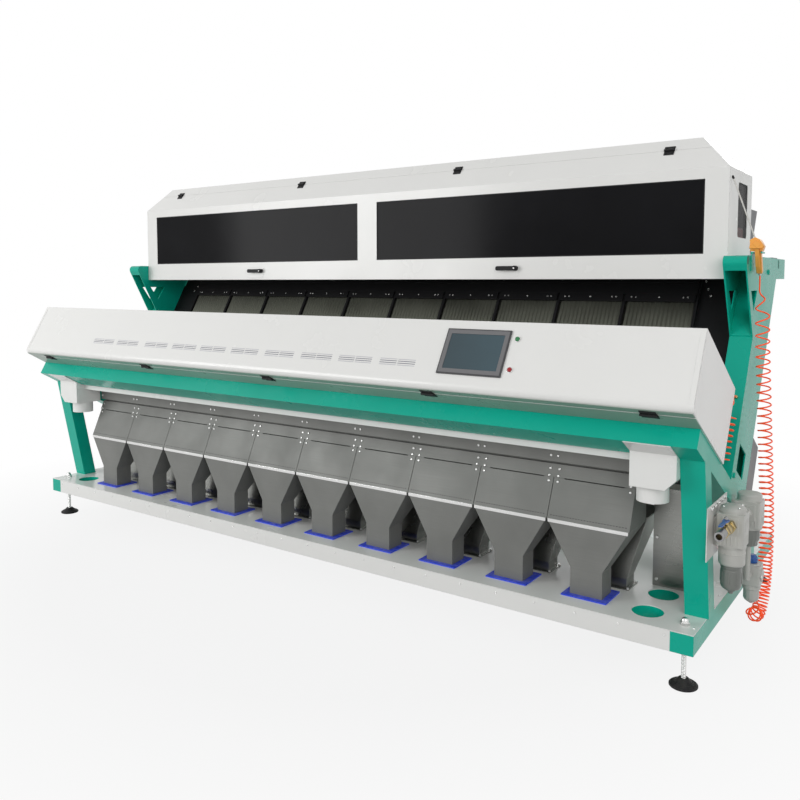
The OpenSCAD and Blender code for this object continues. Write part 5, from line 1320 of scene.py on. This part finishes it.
    def valve(self):
        """The brass ball valve, the open threaded nipple ahead of it and the blue lever."""
        bm = bmesh.new()
        base = (AIR_X, 158, VALVE_Z)
        stem = (AIR_X, STEM_Y, VALVE_Z)
        nut = [(0, 0), (25, 0), (25, 17), (22.5, 20), (0, 20)]
        add_turned(bm, base, TO_FRONT, nut, 6)
        ball = [(0, 18), (16, 18), (17, 26), (19.8, 34), (21, 48), (19.8, 62), (17, 70), (16, 78), (0, 78)]
        add_turned(bm, base, TO_FRONT, ball, 40)
        hexagon = [(0, 70), (20, 70), (21.5, 72), (21.5, 88), (19, 91), (0, 91)]
        add_turned(bm, base, TO_FRONT, hexagon, 6)
        add_turned(bm, stem, UP, rod(8.2, 10, 29.2), 24)
        make_piece("valve_body", bm, "brass", soften=0.7, replaces="ball_valve")
        pipe = bmesh.new()
        outline = [(NIPPLE_BORE, 84), (16.2, 84)]
        for k in range(9):
            run = k * 6.8
            outline += [(16.5, 86 + run), (16.5, 88.6 + run), (15.4, 90 + run), (15.4, 91.4 + run)]
        outline += [(16.5, 147.4), (16, 148.5), (NIPPLE_BORE, 148.5), (NIPPLE_BORE, 84)]
        add_turned(pipe, base, TO_FRONT, outline, 40)
        add_turned(pipe, stem, UP, rod(4.1, 29, 46), 16)
        add_hex(pipe, (AIR_X, STEM_Y, 612.4), UP, 13, 7, False)
        make_piece("inlet_nipple", pipe, "dull_steel")
        lever = bmesh.new()
        handle = [(-11, 2), (-10, -18), (-6.5, -32), (-7.5, -52), (-8, -80), (-5, -88), (5, -88)]
        handle += [(8, -80), (7.5, -52), (6.5, -32), (10, -18), (11, 2), (8, 9), (0, 11.5), (-8, 9)]
        add_prism(lever, handle, 606.6, 611.8, Matrix.Translation((AIR_X, STEM_Y, 0)))
        make_piece("valve_handle", lever, "blue_plastic", "valve_lever", 1.2, replaces="valve_lever")


# Blow gun

# Middle of the head, pivot of the trigger, and leans of the grip, nozzle and trigger in degrees
GUN_HEAD = Vector((GUN_X, 690, 1565))
GUN_PIVOT = Vector((GUN_X, 665, 1565))
GRIP_LEAN = 24
NOZZLE_LEAN = -20
TRIGGER_LEAN = 18


class SORTER_OT_blow_gun(bpy.types.Operator):
    """Replaces the blow gun with a shaped one"""

    bl_idname = "sorter.blow_gun"
    bl_label = "Blow gun"

    def execute(self, context):
        self.shell()
        self.nozzle()
        self.trigger()
        return {"FINISHED"}

    def hang(self):
        """Matrix that carries the grip's own axes to where it hangs."""
        return Matrix.Translation(GUN_HEAD) @ Matrix.Rotation(math.radians(GRIP_LEAN), 4, "X")

    def shell(self):
        """Layers of the head, each with its near and far side, and the finger grip."""
        bm = bmesh.new()
        crown = [(-25, 2), (24.5, 2), (10, 22), (-6, 32), (-26, 22)]
        shell = [(-24, 2), (-29, -22), (-12, -24), (18, -24), (25, -4), (10, 22), (-6, 32), (-26, 22)]
        brow = [(-25, 4), (-27, -13), (22, -13), (25, -4), (24, 4)]
        diamond = [(-2, 20), (-16, 3), (2, -11), (18, 3)]
        layers = ((shell, 676, 708), (crown, 657, 677), (brow, 654, 658.4), (diamond, 652.6, 657.5))
        for outline, near, far in layers:
            add_prism(bm, [(GUN_X + x, 1570 + z) for x, z in outline], -far, -near, UPRIGHT)
        grip = [(-11, -8), (-11.5, -30), (-10, -44), (-11.5, -58), (-10, -72), (-11.5, -86), (-10.5, -108)]
        grip += [(-8, -113), (8, -113), (11, -106), (12, -70), (11, -30), (12, -8)]
        add_prism(bm, grip, -11.5, 11.5, self.hang() @ SIDEWAYS)
        make_piece("gun_shell", bm, "amber_plastic", soften=2.2, replaces="gun_body")

    def nozzle(self):
        """The hose barb under the grip, and the thin tube with its nut and dark tip."""
        hang = self.hang()
        fittings = bmesh.new()
        barb = [(0, 0), (7.4, 0), (7.4, 4), (6.4, 5), (6.4, 9), (4.2, 10), (4.2, 13), (0, 13)]
        add_turned(fittings, hang @ Vector((0, 0, -112)), hang.to_3x3() @ Vector(DOWN), barb, 6)
        out = Matrix.Rotation(math.radians(NOZZLE_LEAN), 4, "Y").to_3x3() @ Vector(UP)
        add_turned(fittings, GUN_HEAD + 26 * out, out, [(0, 0), (7, 0), (7, 7), (4.5, 10), (0, 10)], 24)
        add_turned(fittings, GUN_HEAD + 23 * out, out, rod(3, 0, 270), 20)
        make_piece("gun_tube", fittings, "tube_steel", soften=0.3, replaces="gun_nozzle")
        tip = bmesh.new()
        end = [(0, 0), (3.4, 0), (4.5, 3), (4.5, 11), (3, 14.8), (0, 15)]
        add_turned(tip, GUN_HEAD + 290.8 * out, out, end, 24)
        make_piece("gun_tip", tip, "black_plastic", replaces="gun_nozzle")

    def trigger(self):
        """The long pull ahead of the grip and its pivot."""
        bm = bmesh.new()
        pull = Matrix.Translation(GUN_PIVOT) @ Matrix.Rotation(math.radians(TRIGGER_LEAN), 4, "X")
        shape = [(0.8, 3), (0.8, -30), (-0.6, -58), (0.6, -84), (-2, -84.5), (-3, -58)]
        shape += [(-2.6, -30), (-2.6, 3)]
        add_prism(bm, shape, -8, 8, pull @ SIDEWAYS)
        pin = GUN_PIVOT + Vector((-12, 0, 0))
        add_turned(bm, pin, TO_RIGHT, rod(4.4, 0, 24), 20)
        make_piece("gun_pull", bm, "amber_plastic", "gun_trigger", 0.9, replaces="gun_trigger")


# Back of the machine


class SORTER_OT_rear_trim(bpy.types.Operator):
    """Adds screws and edgings to the rear box, feed hopper and feeders"""

    bl_idname = "sorter.rear_trim"
    bl_label = "Rear trim"

    def execute(self, context):
        lean = tilt_place()
        screws = bmesh.new()
        for k in range(19):
            x = -1800 + k * 200
            for s in (16, 264):
                add_screw(screws, (x, 1083.5, s), TO_BACK, 11)
        make_piece("rear_cover_screws", screws, "zinc", place=lean)
        rim = bmesh.new()
        add_box(rim, (-1808, 1099.6, 1745), (1808, 1104.6, 1756.8))
        add_box(rim, (-1808, 1335.4, 1745), (1808, 1340, 1756.8))
        make_piece("feed_rim", rim, "grey_paint", soften=1.5)
        bolts = bmesh.new()
        for x in CHUTE_XS:
            for k in (-1, 1):
                add_hex(bolts, (x + k * 52, 1186, 1521), UP, 10, 5)
                add_hex(bolts, (x + k * 52, 1240, 1521), UP, 10, 5)
        make_piece("drive_bolts", bolts, "zinc")
        return {"FINISHED"}


# Stage

# Camera in the drawing: place, turns in degrees, lens and shift
CAMERA_PLACE = (2614.3, -2740.1, 1427.3)
CAMERA_DIP = 4.187
CAMERA_TURN = 35.045
CAMERA_LENS = 35.99
CAMERA_SHIFT = -0.0749
# Lamps in metres: name, place, target, watts and width
LAMPS = (
    ("Left key", (-4.4, -5.4, 2.6), (-0.6, 0, 1.1), 185, 3.5),
    ("Right fill", (4.8, -4.4, 2.8), (0.6, 0, 1.0), 95, 3.0),
    ("Rear fill", (0.0, 5.0, 4.4), (0, 0, 1.0), 80, 4.0),
)
# Strength of the room's light, and how white the floor looks near the machine
ROOM_LIGHT = 0.48
NEAR_FLOOR = 0.86


def add_lamp(name, place, target, power, width):
    """A square soft lamp that shines at a point."""
    data = bpy.data.lights.new(name, "AREA")
    data.energy = power
    data.size = width
    lamp = bpy.data.objects.new(name, data)
    lamp.location = place
    lamp.rotation_euler = (Vector(target) - lamp.location).to_track_quat("-Z", "Y").to_euler()
    bpy.context.scene.collection.objects.link(lamp)


def seen_rays(tree):
    """One for rays from the camera, from gloss and through glass, otherwise nought."""
    path = tree.nodes.new("ShaderNodeLightPath")
    first = math_node(tree, "MAXIMUM", path.outputs["Is Camera Ray"], path.outputs["Is Glossy Ray"])
    return math_node(tree, "MAXIMUM", first, path.outputs["Is Transmission Ray"])


class SORTER_OT_stage(bpy.types.Operator):
    """Sets the camera, floor, lamps and pale surroundings"""

    bl_idname = "sorter.stage"
    bl_label = "Stage"

    def execute(self, context):
        scene = context.scene
        data = bpy.data.cameras.new("Photo view")
        data.sensor_width = 36
        data.lens = CAMERA_LENS
        data.shift_y = CAMERA_SHIFT
        camera = bpy.data.objects.new("Photo view", data)
        camera.location = at(*CAMERA_PLACE)
        camera.rotation_euler = (math.radians(90 - CAMERA_DIP), 0, math.radians(CAMERA_TURN))
        scene.collection.objects.link(camera)
        scene.camera = camera
        scene.view_settings.view_transform = "Standard"
        self.floor()
        self.surroundings(scene)
        for lamp in LAMPS:
            add_lamp(*lamp)
        return {"FINISHED"}

    def floor(self):
        """A wide floor that looks white and still takes the machine's shadow."""
        bm = bmesh.new()
        bmesh.ops.create_grid(bm, x_segments=8, y_segments=8, size=40)
        mesh = bpy.data.meshes.new("Floor")
        bm.to_mesh(mesh)
        bm.free()
        floor = bpy.data.objects.new("Floor", mesh)
        floor.location.z = -0.0005
        bpy.context.scene.collection.objects.link(floor)
        material, tree, shader = blank_material("Pale floor")
        place = tree.nodes.new("ShaderNodeTexCoord").outputs["Object"]
        mottle = noise_node(tree, place, 1.5, 3.0, 0.5)
        base = mix_colour(tree, mottle, (0.40, 0.40, 0.40), (0.44, 0.44, 0.44))
        tree.links.new(base, shader.inputs["Base Color"])
        shader.inputs["Roughness"].default_value = 0.8
        glow = tree.nodes.new("ShaderNodeEmission")
        glow.inputs["Color"].default_value = (1, 1, 1, 1)
        reach = tree.nodes.new("ShaderNodeVectorMath")
        reach.operation = "LENGTH"
        tree.links.new(place, reach.inputs[0])
        fade = remap(tree, reach.outputs["Value"], 1.6, 3.4, NEAR_FLOOR, 1.0)
        share = math_node(tree, "MULTIPLY", seen_rays(tree), fade)
        blend = tree.nodes.new("ShaderNodeMixShader")
        tree.links.new(share, blend.inputs[0])
        tree.links.new(shader.outputs[0], blend.inputs[1])
        tree.links.new(glow.outputs[0], blend.inputs[2])
        output = next(n for n in tree.nodes if n.type == "OUTPUT_MATERIAL")
        tree.links.new(blend.outputs[0], output.inputs["Surface"])
        mesh.materials.append(material)

    def surroundings(self, scene):
        """A plain pale room that looks white behind the machine."""
        world = bpy.data.worlds.new("Pale room")
        world.use_nodes = True
        tree = world.node_tree
        plain = next(n for n in tree.nodes if n.type == "BACKGROUND")
        plain.inputs["Color"].default_value = (1.0, 1.0, 1.0, 1)
        plain.inputs["Strength"].default_value = ROOM_LIGHT
        white = tree.nodes.new("ShaderNodeBackground")
        white.inputs["Color"].default_value = (1, 1, 1, 1)
        white.inputs["Strength"].default_value = 1.0
        blend = tree.nodes.new("ShaderNodeMixShader")
        tree.links.new(seen_rays(tree), blend.inputs[0])
        tree.links.new(plain.outputs[0], blend.inputs[1])
        tree.links.new(white.outputs[0], blend.inputs[2])
        output = next(n for n in tree.nodes if n.type == "OUTPUT_WORLD")
        tree.links.new(blend.outputs[0], output.inputs["Surface"])
        scene.world = world


OPERATORS = (
    SORTER_OT_finishes,
    SORTER_OT_stage,
    SORTER_OT_hoses,
    SORTER_OT_console_trim,
    SORTER_OT_hood_trim,
    SORTER_OT_hopper_trim,
    SORTER_OT_frame_trim,
    SORTER_OT_feet,
    SORTER_OT_chute_trim,
    SORTER_OT_air_unit,
    SORTER_OT_blow_gun,
    SORTER_OT_rear_trim,
)


class SORTER_PT_panel(bpy.types.Panel):
    """Lists the sorter's settings and steps"""

    bl_label = "Optical sorter"
    bl_idname = "SORTER_PT_panel"
    bl_space_type = "VIEW_3D"
    bl_region_type = "UI"
    bl_category = "Sorter"

    def draw(self, context):
        layout = self.layout
        for settings in (context.scene.sorter_sizes, context.scene.sorter_colours):
            for key in settings.__annotations__:
                layout.prop(settings, key)
        for operator in OPERATORS:
            layout.operator(operator.bl_idname)


CLASSES = (SorterColours, SorterSizes, *OPERATORS, SORTER_PT_panel)


def register():
    """Registers the settings, operators and panel."""
    for entry in CLASSES:
        bpy.utils.register_class(entry)
    bpy.types.Scene.sorter_colours = bpy.props.PointerProperty(type=SorterColours)
    bpy.types.Scene.sorter_sizes = bpy.props.PointerProperty(type=SorterSizes)


def unregister():
    """Takes the settings, operators and panel away."""
    del bpy.types.Scene.sorter_sizes
    del bpy.types.Scene.sorter_colours
    for entry in reversed(CLASSES):
        bpy.utils.unregister_class(entry)


def main():
    """Dresses the whole machine in order."""
    register()
    bpy.ops.sorter.finishes()
    bpy.ops.sorter.stage()
    bpy.ops.sorter.hoses()
    bpy.ops.sorter.console_trim()
    bpy.ops.sorter.hood_trim()
    bpy.ops.sorter.hopper_trim()
    bpy.ops.sorter.frame_trim()
    bpy.ops.sorter.feet()
    bpy.ops.sorter.chute_trim()
    bpy.ops.sorter.air_unit()
    bpy.ops.sorter.blow_gun()
    bpy.ops.sorter.rear_trim()


if __name__ == "__main__":
    main()
